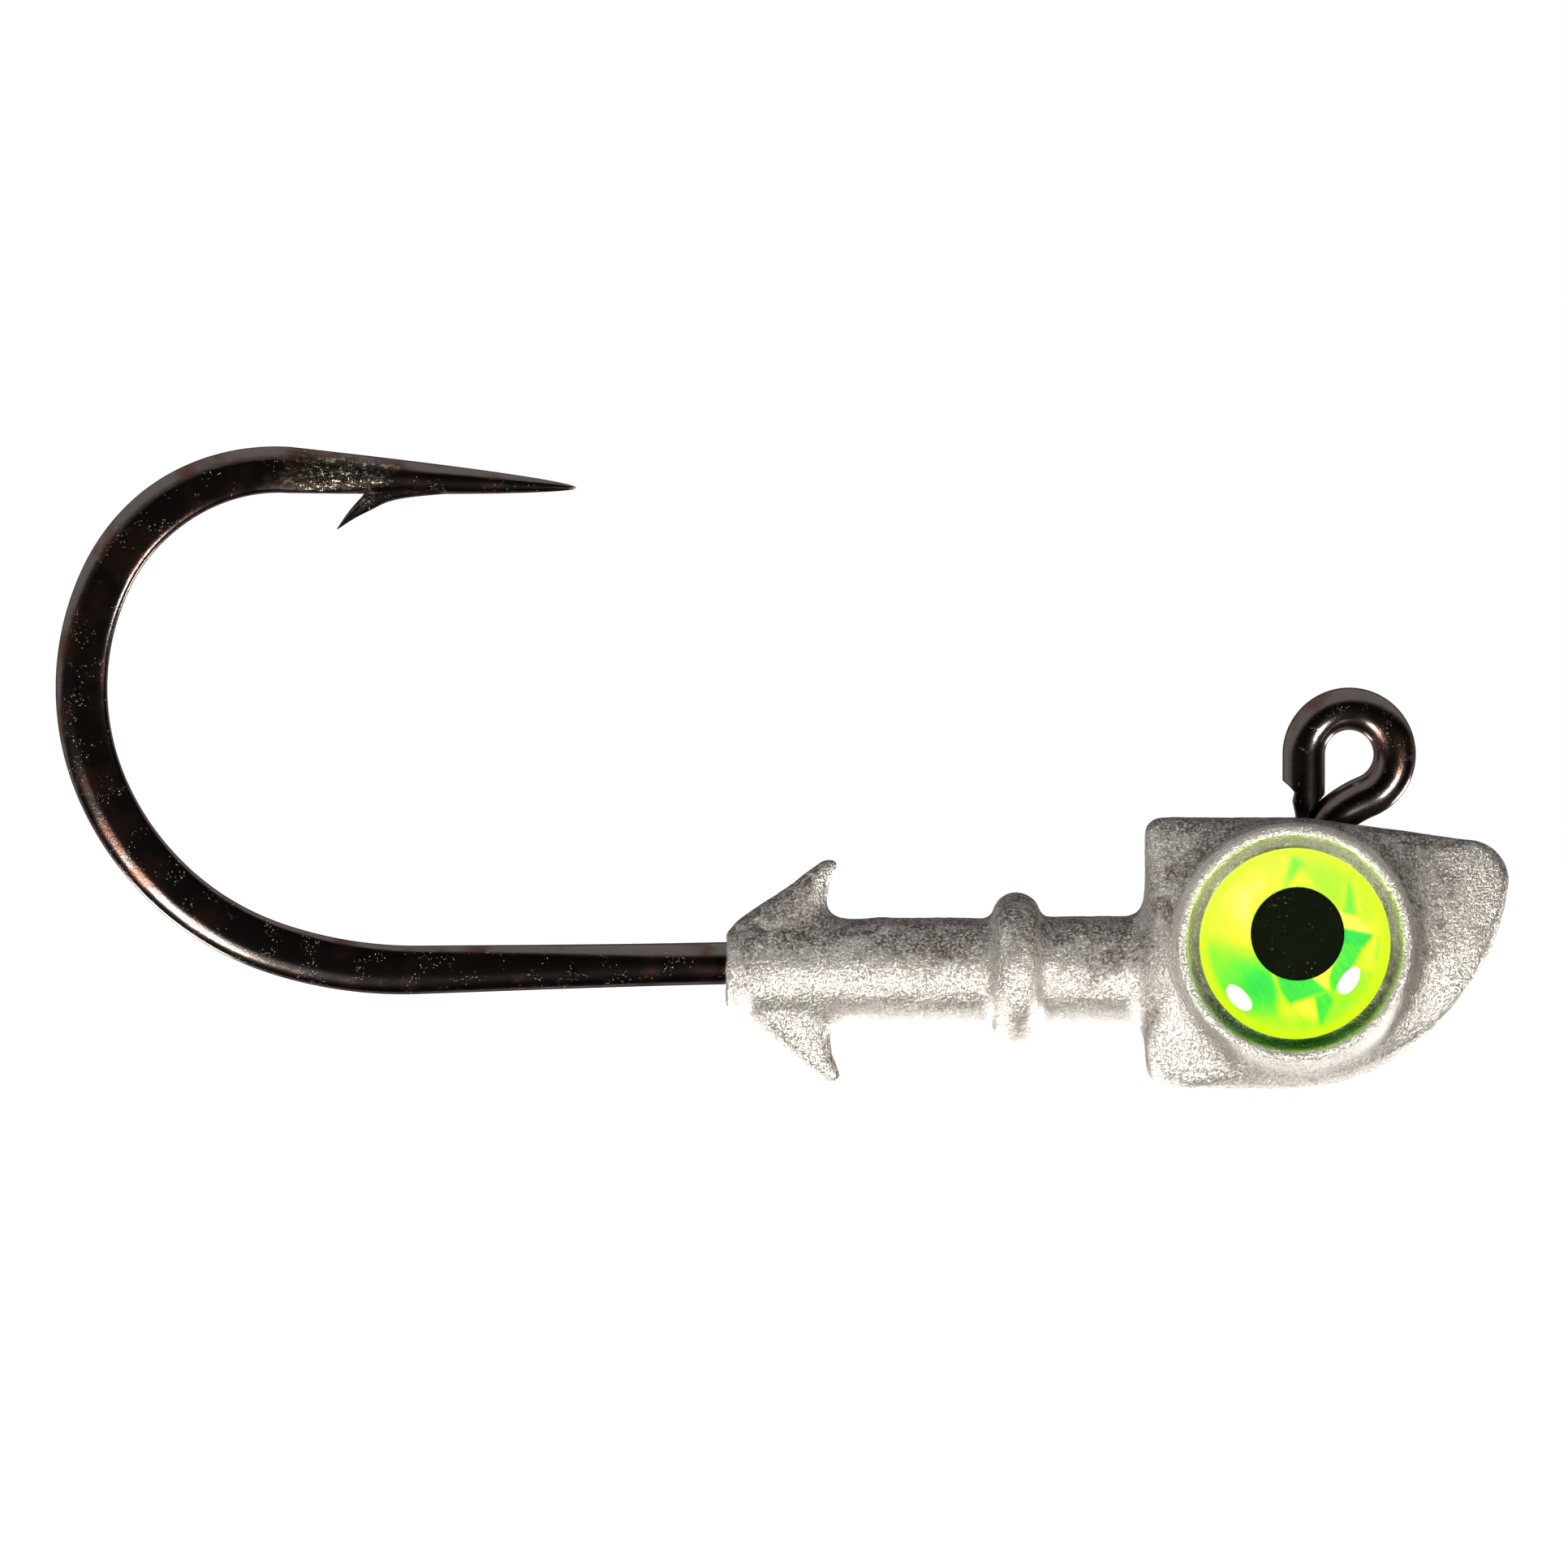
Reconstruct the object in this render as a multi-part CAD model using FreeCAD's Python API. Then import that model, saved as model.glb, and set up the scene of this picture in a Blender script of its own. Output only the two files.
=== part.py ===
"""Jig head: a lead-alloy head cast round a forged hook, with a moulded eye set in each side.

Frame, in millimetres: the origin is the centre of the line eye, +X points to the nose, +Y to the
fish's left and +Z up, as the jig hangs from its line. The hook lies in the XZ plane.
"""
import FreeCAD, Part
import math
import os
from FreeCAD import Vector

# ---------------------------------------------------------------- hook
WIRE_D = 1.56             # round wire: the line eye and the leg inside the casting
EYE_RING_R = 1.67         # centreline radius of the line eye
EYE_TAIL = 2.50           # straight tail below the ring, to the wire's cut end in the casting
EYE_WRAP = 247.3          # degrees that the ring turns before it leads back under itself
EYE_LEAD_R = 4.60         # wide bend that leads from the ring back under itself into the casting
EYE_LEAD_TURN = 22.0      # degrees of that bend
STEM_BEND_R = 1.20        # tight bend from there into the upright stem
CUT_END_GAP = 0.03        # hairline between the wire's cut end and the stem
HEEL_R = 2.20             # bend from the stem into the shank, inside the casting
SHANK_Z = -7.247          # height of the shank's axis below the heel
SHANK_TILT = 1.24         # degrees that the shank drops towards the bend
BARE_SHANK = 11.30        # shank from the collar's end to where the bend begins
BEND = [(15.58, 19.1), (10.62, 48.1), (9.37, 50.3), (6.94, 67.3)]   # radius, degrees of each arc
POINT_L = 10.55           # straight length from the last arc to the point
FORGED_W = 1.90           # widest part of the flattened bend, across the wire
FORGED_T = 1.22           # its thickness
POINT_W = 1.70            # across the wire where the point's taper starts
SECTION_POINTS = 28       # points round a forged section
BEND_SECTIONS = 24        # sections along the flattened bend
POINT_SECTIONS = 16       # and along the point, closer together towards its tip
SHANK_CLEAR = 0.60        # round shank outside the collar before the forging starts
FORGED_FROM = 0.42        # share of the forged part over which it flattens
FORGED_TO = 0.86          # and where it narrows again towards the point
ROUND = 2.0               # superellipse exponent of a round section
SQUARE = 3.5              # and of the flattened one
POINT_FULLNESS = 0.62     # exponent of the point's taper: 1 is a straight cone, less is fuller
POINT_ROUND_SHARE = 0.40  # share of the point over which it turns round again
TIP_R = 0.02              # what is left of the wire at the needle tip
JOIN_TOLERANCE = 1e-4     # edges of the round and the forged part this close are one edge
SHEAR_TOP_Z = -0.95       # the cut end's sheared corner starts here
SHEAR_KNEE_Z = -1.39      # and steepens here
SHEAR_KNEE_DEPTH = 0.43   # where it takes this much off the wire's outside
SHEAR_DEPTH = 0.52        # and this much at the wire's end

# The barb, in pairs of an upper and a lower edge point, each (back from the tip, depth below the
# point's centreline), with the breadth along Y. It starts inside the point and ends at its own tip.
BARB = [((5.00, 0.05), (4.60, 0.50), 0.60), ((6.55, 0.10), (6.05, 0.73), 0.72),
        ((7.45, 0.42), (6.85, 0.95), 0.66), ((7.94, 0.95), (7.45, 1.28), 0.46),
        ((8.32, 1.46), (8.06, 1.64), 0.24), ((8.67, 2.05), (8.65, 2.08), 0.04)]
# The shaving that raised it thins the point behind it: (back from the tip, depth) of that cut.
BARB_SHAVING = [(7.00, 0.57), (10.40, 0.87), (7.00, 1.80)]

# ---------------------------------------------------------------- casting
# Heights are measured from the collar's axis, and lengths from the head's back or nose.
NOSE_REACH = 5.84         # from the line eye forward to the nose
HEAD_L = 13.32            # from the head's back to its nose
HEAD_H = 9.94
CROWN_H = 5.555           # from the collar's axis up to the head's top
COLLAR_DROP = 0.638       # the collar's axis lies this far below the shank's height at the heel
COLLAR_L = 15.38          # from the head's back to its free end
COLLAR_R = 1.87           # between its tip and the bead
COLLAR_NECK_R = 1.93      # between the bead and the head
COLLAR_END_R = 1.50       # at its free end
COLLAR_END_L = 0.95       # length over which the end widens to the collar
END_ROUND = 0.30          # rounding of the end's edge
BEAD_FROM_HEAD = 4.74     # retaining bead
BEAD_R = 0.88             # radius of its round profile
BEAD_PROUD = 0.93         # how far it stands out of the collar
BEAD_FILLET = 0.40
NECK_FLARE = 0.50         # radius where the collar runs into the head

BROW_L = 7.39             # from the nose back to where the top starts to slope
BROW_SLOPE = 8.0          # degrees
SNOUT_L = 1.54            # from the nose back to where the brow's line ends in the nose's curve
NOSE_DROP = 2.22          # the foremost point lies this far below the head's top
SNOUT_BULGE = 0.29        # how far the nose's upper curve stands out of its chord, each way
CHIN_BACK = 3.29          # where the jaw's curve flattens: behind the nose
CHIN_UP = 1.67            # and above the keel
KEEL_L = 8.14             # from the nose back to the front end of the flat keel
HALF_W_BACK = 2.62        # half width of the head at its back
HALF_W_EYE = 2.98         # at the eye
HALF_W_CHEEK = 2.45       # half way from the eye to the nose
HALF_W_NOSE = 1.15        # and at the nose
CROWN_SHARE = 0.62        # half width at the top as a share of that at eye level
KEEL_SHARE = 0.50         # half width at the bottom as a share of that at eye level
HEAD_EDGE_R = 0.62
OVERSIZE = 0.5            # how far a tool shape reaches past what it cuts

# ---------------------------------------------------------------- eyes
EYE_D = 7.00              # a standard 7 mm stick-on eye
EYE_FROM_BACK = 5.43      # its centre ahead of the head's back
EYE_FROM_TOP = 4.60       # and below the head's top
PAD_INSET = 0.20          # the adhesive pad is this much smaller all round
PAD_T = 0.16
FOIL_T = 0.10
PUPIL_D = 3.24             # the dome magnifies it, so that it looks 3.4 across
PUPIL_T = 0.03
PUPIL_SHIFT = (0.09, 0.34)   # the print sits this far forward of and above the middle
DOME_EDGE_H = 0.28        # straight side of the clear dome
DOME_H = 1.30             # its full height over the foil
SOCKET_CLEAR = 0.16       # between the eye and the socket's wall, at the floor
SOCKET_FLARE = 0.30       # how much wider the socket's radius is at its mouth
SOCKET_DEPTH = 0.72
BOSS_LAND = 0.46          # width of the rim round the socket
BOSS_PROUD = 0.44         # how far the boss stands out of the flank at the eye
BOSS_DRAFT = 14.0         # degrees
BOSS_EDGE_R = 0.28
BOSS_SUNK = 1.38          # how far the boss starts inside the flank

# ---------------------------------------------------------------- keeper spikes on the collar
SPIKES = [(1, 2.06, 4.03), (-1, 2.18, 4.15)]   # side, height over the collar, back from its free end
SPIKE_SLOPE = 33.8        # degrees of the front edge
SPIKE_HOOK = 0.30         # how far the back edge is hollowed
SPIKE_HOOK_TURN = 2.33    # radians of a sine that the hollow follows from tip to root
SPIKE_TIP_L = 0.42        # length of the blunt tip
SPIKE_TIP_HALF_W = 0.18
SPIKE_ROOT_HALF_W = 1.02  # half the width where it meets the collar
SPIKE_SUNK = 0.97         # it starts this far inside the collar
SPIKE_LEVELS = (0.0, 0.25, 0.45, 0.65, 0.85, 1.0)   # shares of its height that have a section

# ---------------------------------------------------------------- places that follow from these
COLLAR_Z = SHANK_Z - COLLAR_DROP
HEAD_BACK_X = NOSE_REACH - HEAD_L
COLLAR_TIP_X = HEAD_BACK_X - COLLAR_L
SHANK_END_X = COLLAR_TIP_X - BARE_SHANK
BEAD_X = HEAD_BACK_X - BEAD_FROM_HEAD
BEAD_OUT_R = COLLAR_R + BEAD_PROUD
HEAD_TOP_Z = COLLAR_Z + CROWN_H
HEAD_BOTTOM_Z = HEAD_TOP_Z - HEAD_H
EYE_X = HEAD_BACK_X + EYE_FROM_BACK
EYE_Z = HEAD_TOP_Z - EYE_FROM_TOP
SOCKET_FLOOR_R = EYE_D / 2 + SOCKET_CLEAR
SOCKET_R = SOCKET_FLOOR_R + SOCKET_FLARE
BOSS_R = SOCKET_R + BOSS_LAND
BOSS_FACE_Y = HALF_W_EYE + BOSS_PROUD
BOSS_FOOT_Y = HALF_W_EYE - BOSS_SUNK
SOCKET_FLOOR_Y = BOSS_FACE_Y - SOCKET_DEPTH


def heading(degrees):
    """Unit vector in the XZ plane, counter-clockwise from +X as seen from -Y."""
    a = math.radians(degrees)
    return Vector(math.cos(a), 0, math.sin(a))


class WirePath:
    """A chain of straight runs and tangent arcs in the XZ plane."""

    def __init__(self, x, z, degrees):
        self.at = Vector(x, 0, z)
        self.degrees = degrees
        self.pieces = []
        self.length = 0.0

    def run(self, length):
        end = self.at + heading(self.degrees) * length
        self.pieces.append(("run", self.at, self.degrees, length, 0.0))
        self.at = end
        self.length += length
        return self

    def turn(self, radius, degrees):
        """Turns left (counter-clockwise) for positive degrees and right for negative ones."""
        length = radius * math.radians(abs(degrees))
        self.pieces.append(("arc", self.at, self.degrees, length, math.copysign(radius, degrees)))
        self.at, self.degrees = self.place(self.pieces[-1], length)
        self.length += length
        return self

    def corner(self, index):
        """Where piece number index starts: x, z and heading."""
        kind, start, degrees, length, radius = self.pieces[index]
        return start.x, start.z, degrees

    @staticmethod
    def place(piece, s):
        """Point and heading at a distance s along one piece."""
        kind, start, degrees, length, radius = piece
        if kind == "run":
            return start + heading(degrees) * s, degrees
        turned = math.degrees(s / radius)
        centre = start + heading(degrees + 90) * radius
        return centre + heading(degrees + turned - 90) * radius, degrees + turned

    def at_distance(self, s):
        for piece in self.pieces:
            if s <= piece[3]:
                return self.place(piece, s)
            s -= piece[3]
        return self.place(self.pieces[-1], self.pieces[-1][3])

    def wire(self):
        edges = []
        for piece in self.pieces:
            start, end = self.place(piece, 0)[0], self.place(piece, piece[3])[0]
            if piece[0] == "run":
                edges.append(Part.LineSegment(start, end).toShape())
            else:
                middle = self.place(piece, piece[3] / 2)[0]
                edges.append(Part.Arc(start, middle, end).toShape())
        return Part.Wire(edges)


def round_wire(path, radius):
    """A solid round wire along a path."""
    start, degrees = path.at_distance(0)
    ring = Part.Wire(Part.Circle(start, heading(degrees), radius).toShape())
    return path.wire().makePipeShell([ring], True, True)


def prism(points, half_width):
    """A polygon in the XZ plane, given as (x, z) pairs, extruded to both sides."""
    corners = [Vector(x, -half_width, z) for x, z in points]
    face = Part.Face(Part.makePolygon(corners + corners[:1]))
    return face.extrude(Vector(0, 2 * half_width, 0))


def blend(low, high, share):
    """Smooth step from low to high as share goes from 0 to 1."""
    share = min(max(share, 0.0), 1.0)
    return low + (high - low) * share * share * (3 - 2 * share)


# ================================================================ hook
def forged_section(centre, degrees, across, thick, squareness):
    """A closed superellipse square to the wire: across lies in the hook's plane, thick along Y."""
    outward = heading(degrees + 90)
    points = []
    for i in range(SECTION_POINTS):
        a = 2 * math.pi * i / SECTION_POINTS
        c, s = math.cos(a), math.sin(a)
        u = math.copysign(abs(c) ** (2 / squareness), c) * across / 2
        v = math.copysign(abs(s) ** (2 / squareness), s) * thick / 2
        points.append(centre + outward * u + Vector(0, v, 0))
    curve = Part.BSplineCurve()
    curve.interpolate(Points=points, PeriodicFlag=True)
    return Part.Wire(curve.toShape())


def ring_tail_path():
    """From the wire's cut end up the tail and over half of the ring."""
    path = WirePath(-EYE_RING_R, -EYE_TAIL, 90)
    path.run(EYE_TAIL)
    path.turn(EYE_RING_R, -EYE_WRAP / 2)
    return path


def lead_into_stem(path):
    """From the ring's end in a wide bend and then a tight one, until the wire runs straight down."""
    path.turn(EYE_LEAD_R, EYE_LEAD_TURN)
    path.turn(STEM_BEND_R, EYE_WRAP - 180 - EYE_LEAD_TURN)


def stem_path():
    """From half way round the ring, under it, down the stem and round the heel into the shank."""
    half_ring = ring_tail_path()
    path = WirePath(half_ring.at.x, half_ring.at.z, half_ring.degrees)
    path.turn(EYE_RING_R, -EYE_WRAP / 2)
    lead_into_stem(path)
    path.run(path.at.z - (SHANK_Z + HEEL_R))
    path.turn(HEEL_R, -(90 - SHANK_TILT))
    path.run((path.at.x - COLLAR_TIP_X + SHANK_CLEAR) / math.cos(math.radians(SHANK_TILT)))
    return path


def forged_path():
    """From just outside the collar to the needle point."""
    round_part = stem_path()
    path = WirePath(round_part.at.x, round_part.at.z, round_part.degrees)
    path.run((path.at.x - SHANK_END_X) / math.cos(math.radians(SHANK_TILT)))
    for radius, turned in BEND:
        path.turn(radius, -turned)
    path.run(POINT_L)
    return path


def forged_profile(s, length):
    """Width across the wire, thickness and squareness at a distance s along the forged part."""
    taper_start = length - POINT_L
    flat = blend(0, 1, s / (FORGED_FROM * taper_start))
    leaving = blend(0, 1, (s / taper_start - FORGED_TO) / (1 - FORGED_TO))
    across = WIRE_D + (FORGED_W - WIRE_D) * flat - (FORGED_W - POINT_W) * leaving
    thick = WIRE_D + (FORGED_T - WIRE_D) * flat
    squareness = ROUND + (SQUARE - ROUND) * flat
    share = max(s - taper_start, 0) / POINT_L
    turned_round = blend(0, 1, share / POINT_ROUND_SHARE)
    fullness = max(1 - share, 0) ** POINT_FULLNESS
    across = 2 * TIP_R + (across - 2 * TIP_R) * fullness
    thick = min(thick, across) * (1 - turned_round) + across * turned_round
    squareness = squareness + (ROUND - squareness) * turned_round
    return across, thick, squareness


def make_forged_part():
    """The flattened bend and the point, as one loft through sections square to the wire."""
    path = forged_path()
    bend_length = path.length - POINT_L
    stations = [bend_length * i / BEND_SECTIONS for i in range(BEND_SECTIONS)]
    for i in range(POINT_SECTIONS + 1):
        stations.append(bend_length + POINT_L * math.sin(math.pi / 2 * i / POINT_SECTIONS))
    sections = []
    for s in stations:
        centre, degrees = path.at_distance(s)
        sections.append(forged_section(centre, degrees, *forged_profile(s, path.length)))
    return Part.makeLoft(sections, True, False)


def from_tip(path, back, depth):
    """The place that lies this far back from the needle tip and this far below the centreline."""
    return path.at - heading(path.degrees) * back + heading(path.degrees - 90) * depth


def make_barb():
    """The sliver raised from the inside of the point: it swells out of the wire, then peels away."""
    path = forged_path()
    sections = []
    for upper, lower, breadth in BARB:
        a, b = from_tip(path, *upper), from_tip(path, *lower)
        across = (a - b).Length
        degrees = math.degrees(math.atan2(a.z - b.z, a.x - b.x)) - 90
        sections.append(forged_section((a + b) / 2, degrees, across, breadth, ROUND))
    return Part.makeLoft(sections, True, False)


def make_shaving():
    """The wedge of wire that went into the barb."""
    path = forged_path()
    corners = [from_tip(path, back, depth) for back, depth in BARB_SHAVING]
    return prism([(corner.x, corner.z) for corner in corners], FORGED_T)


def make_cut_end():
    """The wire's cut end: half the ring and its tail, sheared at the outside and clear of the stem."""
    under_ring = WirePath(*stem_path().corner(1))
    lead_into_stem(under_ring)
    under_ring.run(EYE_TAIL)
    room = round_wire(under_ring, WIRE_D / 2 + CUT_END_GAP)
    left = -EYE_RING_R - WIRE_D / 2
    end_z = -EYE_TAIL - OVERSIZE
    shear = prism([(left, SHEAR_TOP_Z), (left + SHEAR_KNEE_DEPTH, SHEAR_KNEE_Z), (left + SHEAR_DEPTH, end_z),
                   (left - OVERSIZE, end_z), (left - OVERSIZE, SHEAR_TOP_Z)], WIRE_D)
    trimmed = round_wire(ring_tail_path(), WIRE_D / 2).cut(room).cut(shear)
    return max(trimmed.Solids, key=lambda solid: solid.Volume)


def make_hook():
    """One piece of wire: line eye, stem, heel, shank, flattened bend, barb and point."""
    stem = round_wire(stem_path(), WIRE_D / 2)
    point = make_forged_part().cut(make_shaving()).fuse(make_barb())
    return stem.fuse([make_cut_end(), point], JOIN_TOLERANCE).removeSplitter()


# ================================================================ casting
def line_and_arc(place):
    """Two functions that draw an edge through points given as pairs, which place() puts in space."""
    def line(a, b):
        return Part.LineSegment(place(*a), place(*b)).toShape()

    def arc(a, b, c):
        return Part.Arc(place(*a), place(*b), place(*c)).toShape()

    return line, arc


def fillet_beside_bead(line_r, side):
    """A fillet between collar and bead: its point on the collar, its middle and its point on the bead."""
    bead = (BEAD_X, BEAD_OUT_R - BEAD_R)
    reach = BEAD_R + BEAD_FILLET
    rise = line_r + BEAD_FILLET - bead[1]
    centre = (BEAD_X + side * math.sqrt(reach * reach - rise * rise), line_r + BEAD_FILLET)
    to_bead = ((bead[0] - centre[0]) / reach, (bead[1] - centre[1]) / reach)
    between = (to_bead[0], to_bead[1] - 1)
    scale = BEAD_FILLET / math.hypot(*between)
    middle = (centre[0] + between[0] * scale, centre[1] + between[1] * scale)
    on_bead = (centre[0] + to_bead[0] * BEAD_FILLET, centre[1] + to_bead[1] * BEAD_FILLET)
    return (centre[0], line_r), middle, on_bead


def make_collar():
    """The collar as one turned shape: rounded end, bead with its fillets, and the flare into the head."""
    line, arc = line_and_arc(lambda x, r: Vector(x, 0, COLLAR_Z + r))
    corner = 1 - math.sqrt(0.5)
    end_edge = (COLLAR_TIP_X, COLLAR_END_R - END_ROUND)
    end_mid = (COLLAR_TIP_X + END_ROUND * corner, COLLAR_END_R - END_ROUND * corner)
    end_top = (COLLAR_TIP_X + END_ROUND, COLLAR_END_R)
    shoulder = (COLLAR_TIP_X + COLLAR_END_L, COLLAR_R)
    left_line, left_mid, left_bead = fillet_beside_bead(COLLAR_R, -1)
    right_line, right_mid, right_bead = fillet_beside_bead(COLLAR_NECK_R, 1)
    flare = (HEAD_BACK_X - NECK_FLARE, COLLAR_NECK_R)
    flare_mid = (HEAD_BACK_X - NECK_FLARE * corner, COLLAR_NECK_R + NECK_FLARE * corner)
    flare_end = (HEAD_BACK_X, COLLAR_NECK_R + NECK_FLARE)
    inside = HEAD_BACK_X + OVERSIZE
    edges = [line((COLLAR_TIP_X, 0), end_edge), arc(end_edge, end_mid, end_top), line(end_top, shoulder),
             line(shoulder, left_line), arc(left_line, left_mid, left_bead),
             arc(left_bead, (BEAD_X, BEAD_OUT_R), right_bead), arc(right_bead, right_mid, right_line),
             line(right_line, flare), arc(flare, flare_mid, flare_end),
             line(flare_end, (inside, flare_end[1])), line((inside, flare_end[1]), (inside, 0)),
             line((inside, 0), (COLLAR_TIP_X, 0))]
    return Part.Face(Part.Wire(edges)).revolve(Vector(0, 0, COLLAR_Z), Vector(1, 0, 0), 360)


def make_spike(side, height, from_end):
    """A keeper spike: a leaning fin of elliptical section that narrows to a blunt tip. side is 1 or -1."""
    slope = math.tan(math.radians(SPIKE_SLOPE))
    tip_r = COLLAR_R + height
    sections = []
    for share in SPIKE_LEVELS:
        r = COLLAR_R - SPIKE_SUNK + (height + SPIKE_SUNK) * share
        below_tip = tip_r - r
        hollow = SPIKE_HOOK * math.sin(SPIKE_HOOK_TURN * min(below_tip / height, 1.0))
        back = COLLAR_TIP_X + from_end - hollow
        front = max(COLLAR_TIP_X + from_end - SPIKE_TIP_L - below_tip / slope, COLLAR_TIP_X + END_ROUND)
        half_w = SPIKE_TIP_HALF_W + (SPIKE_ROOT_HALF_W - SPIKE_TIP_HALF_W) * below_tip / height
        centre = Vector((front + back) / 2, 0, COLLAR_Z + side * r)
        points = []
        for i in range(SECTION_POINTS):
            a = 2 * math.pi * i / SECTION_POINTS
            points.append(centre + Vector((back - front) / 2 * math.cos(a), half_w * math.sin(a), 0))
        curve = Part.BSplineCurve()
        curve.interpolate(Points=points, PeriodicFlag=True)
        sections.append(Part.Wire(curve.toShape()))
    return Part.makeLoft(sections, True, False)


def tangent_arc(start, degrees, end):
    """The middle of the arc that leaves start at this heading and ends at end, and its heading there."""
    dx, dz = end[0] - start[0], end[1] - start[1]
    chord, chord_degrees = math.hypot(dx, dz), math.degrees(math.atan2(dz, dx))
    half_turn = chord_degrees - degrees
    to_middle = chord / 2 / math.cos(math.radians(half_turn / 2))
    middle = heading(degrees + half_turn / 2) * to_middle
    return (start[0] + middle.x, start[1] + middle.z), chord_degrees + half_turn


def head_side_prism():
    """The head's outline seen from the side, extruded past both flanks."""
    reach = BOSS_FACE_Y + OVERSIZE
    line, arc = line_and_arc(lambda x, z: Vector(x, -reach, z))
    brow = (NOSE_REACH - BROW_L, HEAD_TOP_Z)
    brow_drop = (BROW_L - SNOUT_L) * math.tan(math.radians(BROW_SLOPE))
    brow_end = (NOSE_REACH - SNOUT_L, HEAD_TOP_Z - brow_drop)
    nose = (NOSE_REACH, HEAD_TOP_Z - NOSE_DROP)
    snout = ((brow_end[0] + nose[0]) / 2 + SNOUT_BULGE, (brow_end[1] + nose[1]) / 2 + SNOUT_BULGE)
    chin = (NOSE_REACH - CHIN_BACK, HEAD_BOTTOM_Z + CHIN_UP)
    keel = (NOSE_REACH - KEEL_L, HEAD_BOTTOM_Z)
    under_chin, chin_degrees = tangent_arc(keel, 0, chin)
    jaw = tangent_arc(chin, chin_degrees, nose)[0]
    back_top, back_bottom = (HEAD_BACK_X, HEAD_TOP_Z), (HEAD_BACK_X, HEAD_BOTTOM_Z)
    edges = [line(back_bottom, back_top), line(back_top, brow), line(brow, brow_end),
             arc(brow_end, snout, nose), arc(nose, jaw, chin), arc(chin, under_chin, keel),
             line(keel, back_bottom)]
    return Part.Face(Part.Wire(edges)).extrude(Vector(0, 2 * reach, 0))


def head_flanks():
    """A barrel-sided block, widest at the eye, lofted through sections square to X."""
    top, bottom = HEAD_TOP_Z + OVERSIZE, HEAD_BOTTOM_Z - OVERSIZE
    stations = [(HEAD_BACK_X - OVERSIZE, HALF_W_BACK), (EYE_X, HALF_W_EYE),
                ((EYE_X + NOSE_REACH) / 2, HALF_W_CHEEK), (NOSE_REACH, HALF_W_NOSE)]
    sections = []
    for x, half_w in stations:
        line, arc = line_and_arc(lambda y, z: Vector(x, y, z))
        crown, waist, keel = half_w * CROWN_SHARE, half_w, half_w * KEEL_SHARE
        sections.append(Part.Wire([
            arc((crown, top), (waist, EYE_Z), (keel, bottom)), line((keel, bottom), (-keel, bottom)),
            arc((-keel, bottom), (-waist, EYE_Z), (-crown, top)), line((-crown, top), (crown, top))]))
    return Part.makeLoft(sections, True, False)


def make_boss(side):
    """The drafted round boss that carries an eye, flush with the head's top."""
    height = BOSS_FACE_Y - BOSS_FOOT_Y
    foot_r = BOSS_R + height * math.tan(math.radians(BOSS_DRAFT))
    cone = Part.makeCone(foot_r, BOSS_R, height, Vector(EYE_X, side * BOSS_FOOT_Y, EYE_Z), Vector(0, side, 0))
    rim = [e for e in cone.Edges if abs(e.CenterOfMass.y - side * BOSS_FACE_Y) < 1e-6]
    return cone.makeFillet(BOSS_EDGE_R, rim).common(head_side_prism())


def make_socket(side):
    """The tapered recess that the eye sits in."""
    mouth_r = SOCKET_R + OVERSIZE * SOCKET_FLARE / SOCKET_DEPTH
    return Part.makeCone(SOCKET_FLOOR_R, mouth_r, SOCKET_DEPTH + OVERSIZE,
                         Vector(EYE_X, side * SOCKET_FLOOR_Y, EYE_Z), Vector(0, side, 0))


def make_casting(hook):
    """Head, bosses, collar and keeper barbs in one casting, with the hook's channel through it."""
    body = head_flanks().common(head_side_prism())
    body = body.makeFillet(HEAD_EDGE_R, body.Edges)
    spikes = [make_spike(*spike) for spike in SPIKES]
    casting = body.fuse([make_boss(-1), make_boss(1), make_collar()] + spikes)
    casting = casting.cut(make_socket(-1)).cut(make_socket(1)).cut(hook)
    return max(casting.Solids, key=lambda solid: solid.Volume)


# ================================================================ eyes
def make_eye(side):
    """The four layers of one stick-on eye, from the socket's floor outwards."""
    out = Vector(0, side, 0)
    centre = Vector(EYE_X, side * SOCKET_FLOOR_Y, EYE_Z)
    pupil_at = Vector(PUPIL_SHIFT[0], 0, PUPIL_SHIFT[1])
    pad = Part.makeCylinder(EYE_D / 2 - PAD_INSET, PAD_T, centre, out)
    foil_base = centre + out * PAD_T
    foil = Part.makeCylinder(EYE_D / 2, FOIL_T, foil_base, out)
    top = foil_base + out * FOIL_T
    pupil = Part.makeCylinder(PUPIL_D / 2, PUPIL_T, top + pupil_at, out)
    cap_h = DOME_H - DOME_EDGE_H
    ball_r = (EYE_D * EYE_D / 4 + cap_h * cap_h) / (2 * cap_h)
    ball = Part.makeSphere(ball_r, top + out * (DOME_H - ball_r))
    dome = ball.common(Part.makeCylinder(EYE_D / 2, DOME_H + 1, top, out)).cut(pupil)
    return {"adhesive_pad": pad, "iris_foil": foil, "pupil_print": pupil, "clear_dome": dome}


def main():
    os.makedirs("parts", exist_ok=True)
    hook = make_hook()
    nodes = {"hook": hook, "head_casting": make_casting(hook)}
    for name, side in (("left", 1), ("right", -1)):
        for layer, solid in make_eye(side).items():
            nodes[f"{name}_{layer}"] = solid
    for name, shape in nodes.items():
        shape.exportStep(f"parts/{name}.step")
        print(f"{name:20} solids {len(shape.Solids)}  valid {shape.isValid()}  volume {shape.Volume:.3f} mm3")


main()
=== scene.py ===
# %% [markdown]
# A jig head is a lead-alloy head cast round a black nickel hook, with a stick-on eye in a socket on
# each side. Its frame is the imported CAD model: every size and place below starts from it, and the
# hook, head, foils and domes are drawn again in finer detail in the same place.

# %% Load the frame
import itertools
import math

import bpy
import numpy as np
from mathutils import Matrix, Vector


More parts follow.
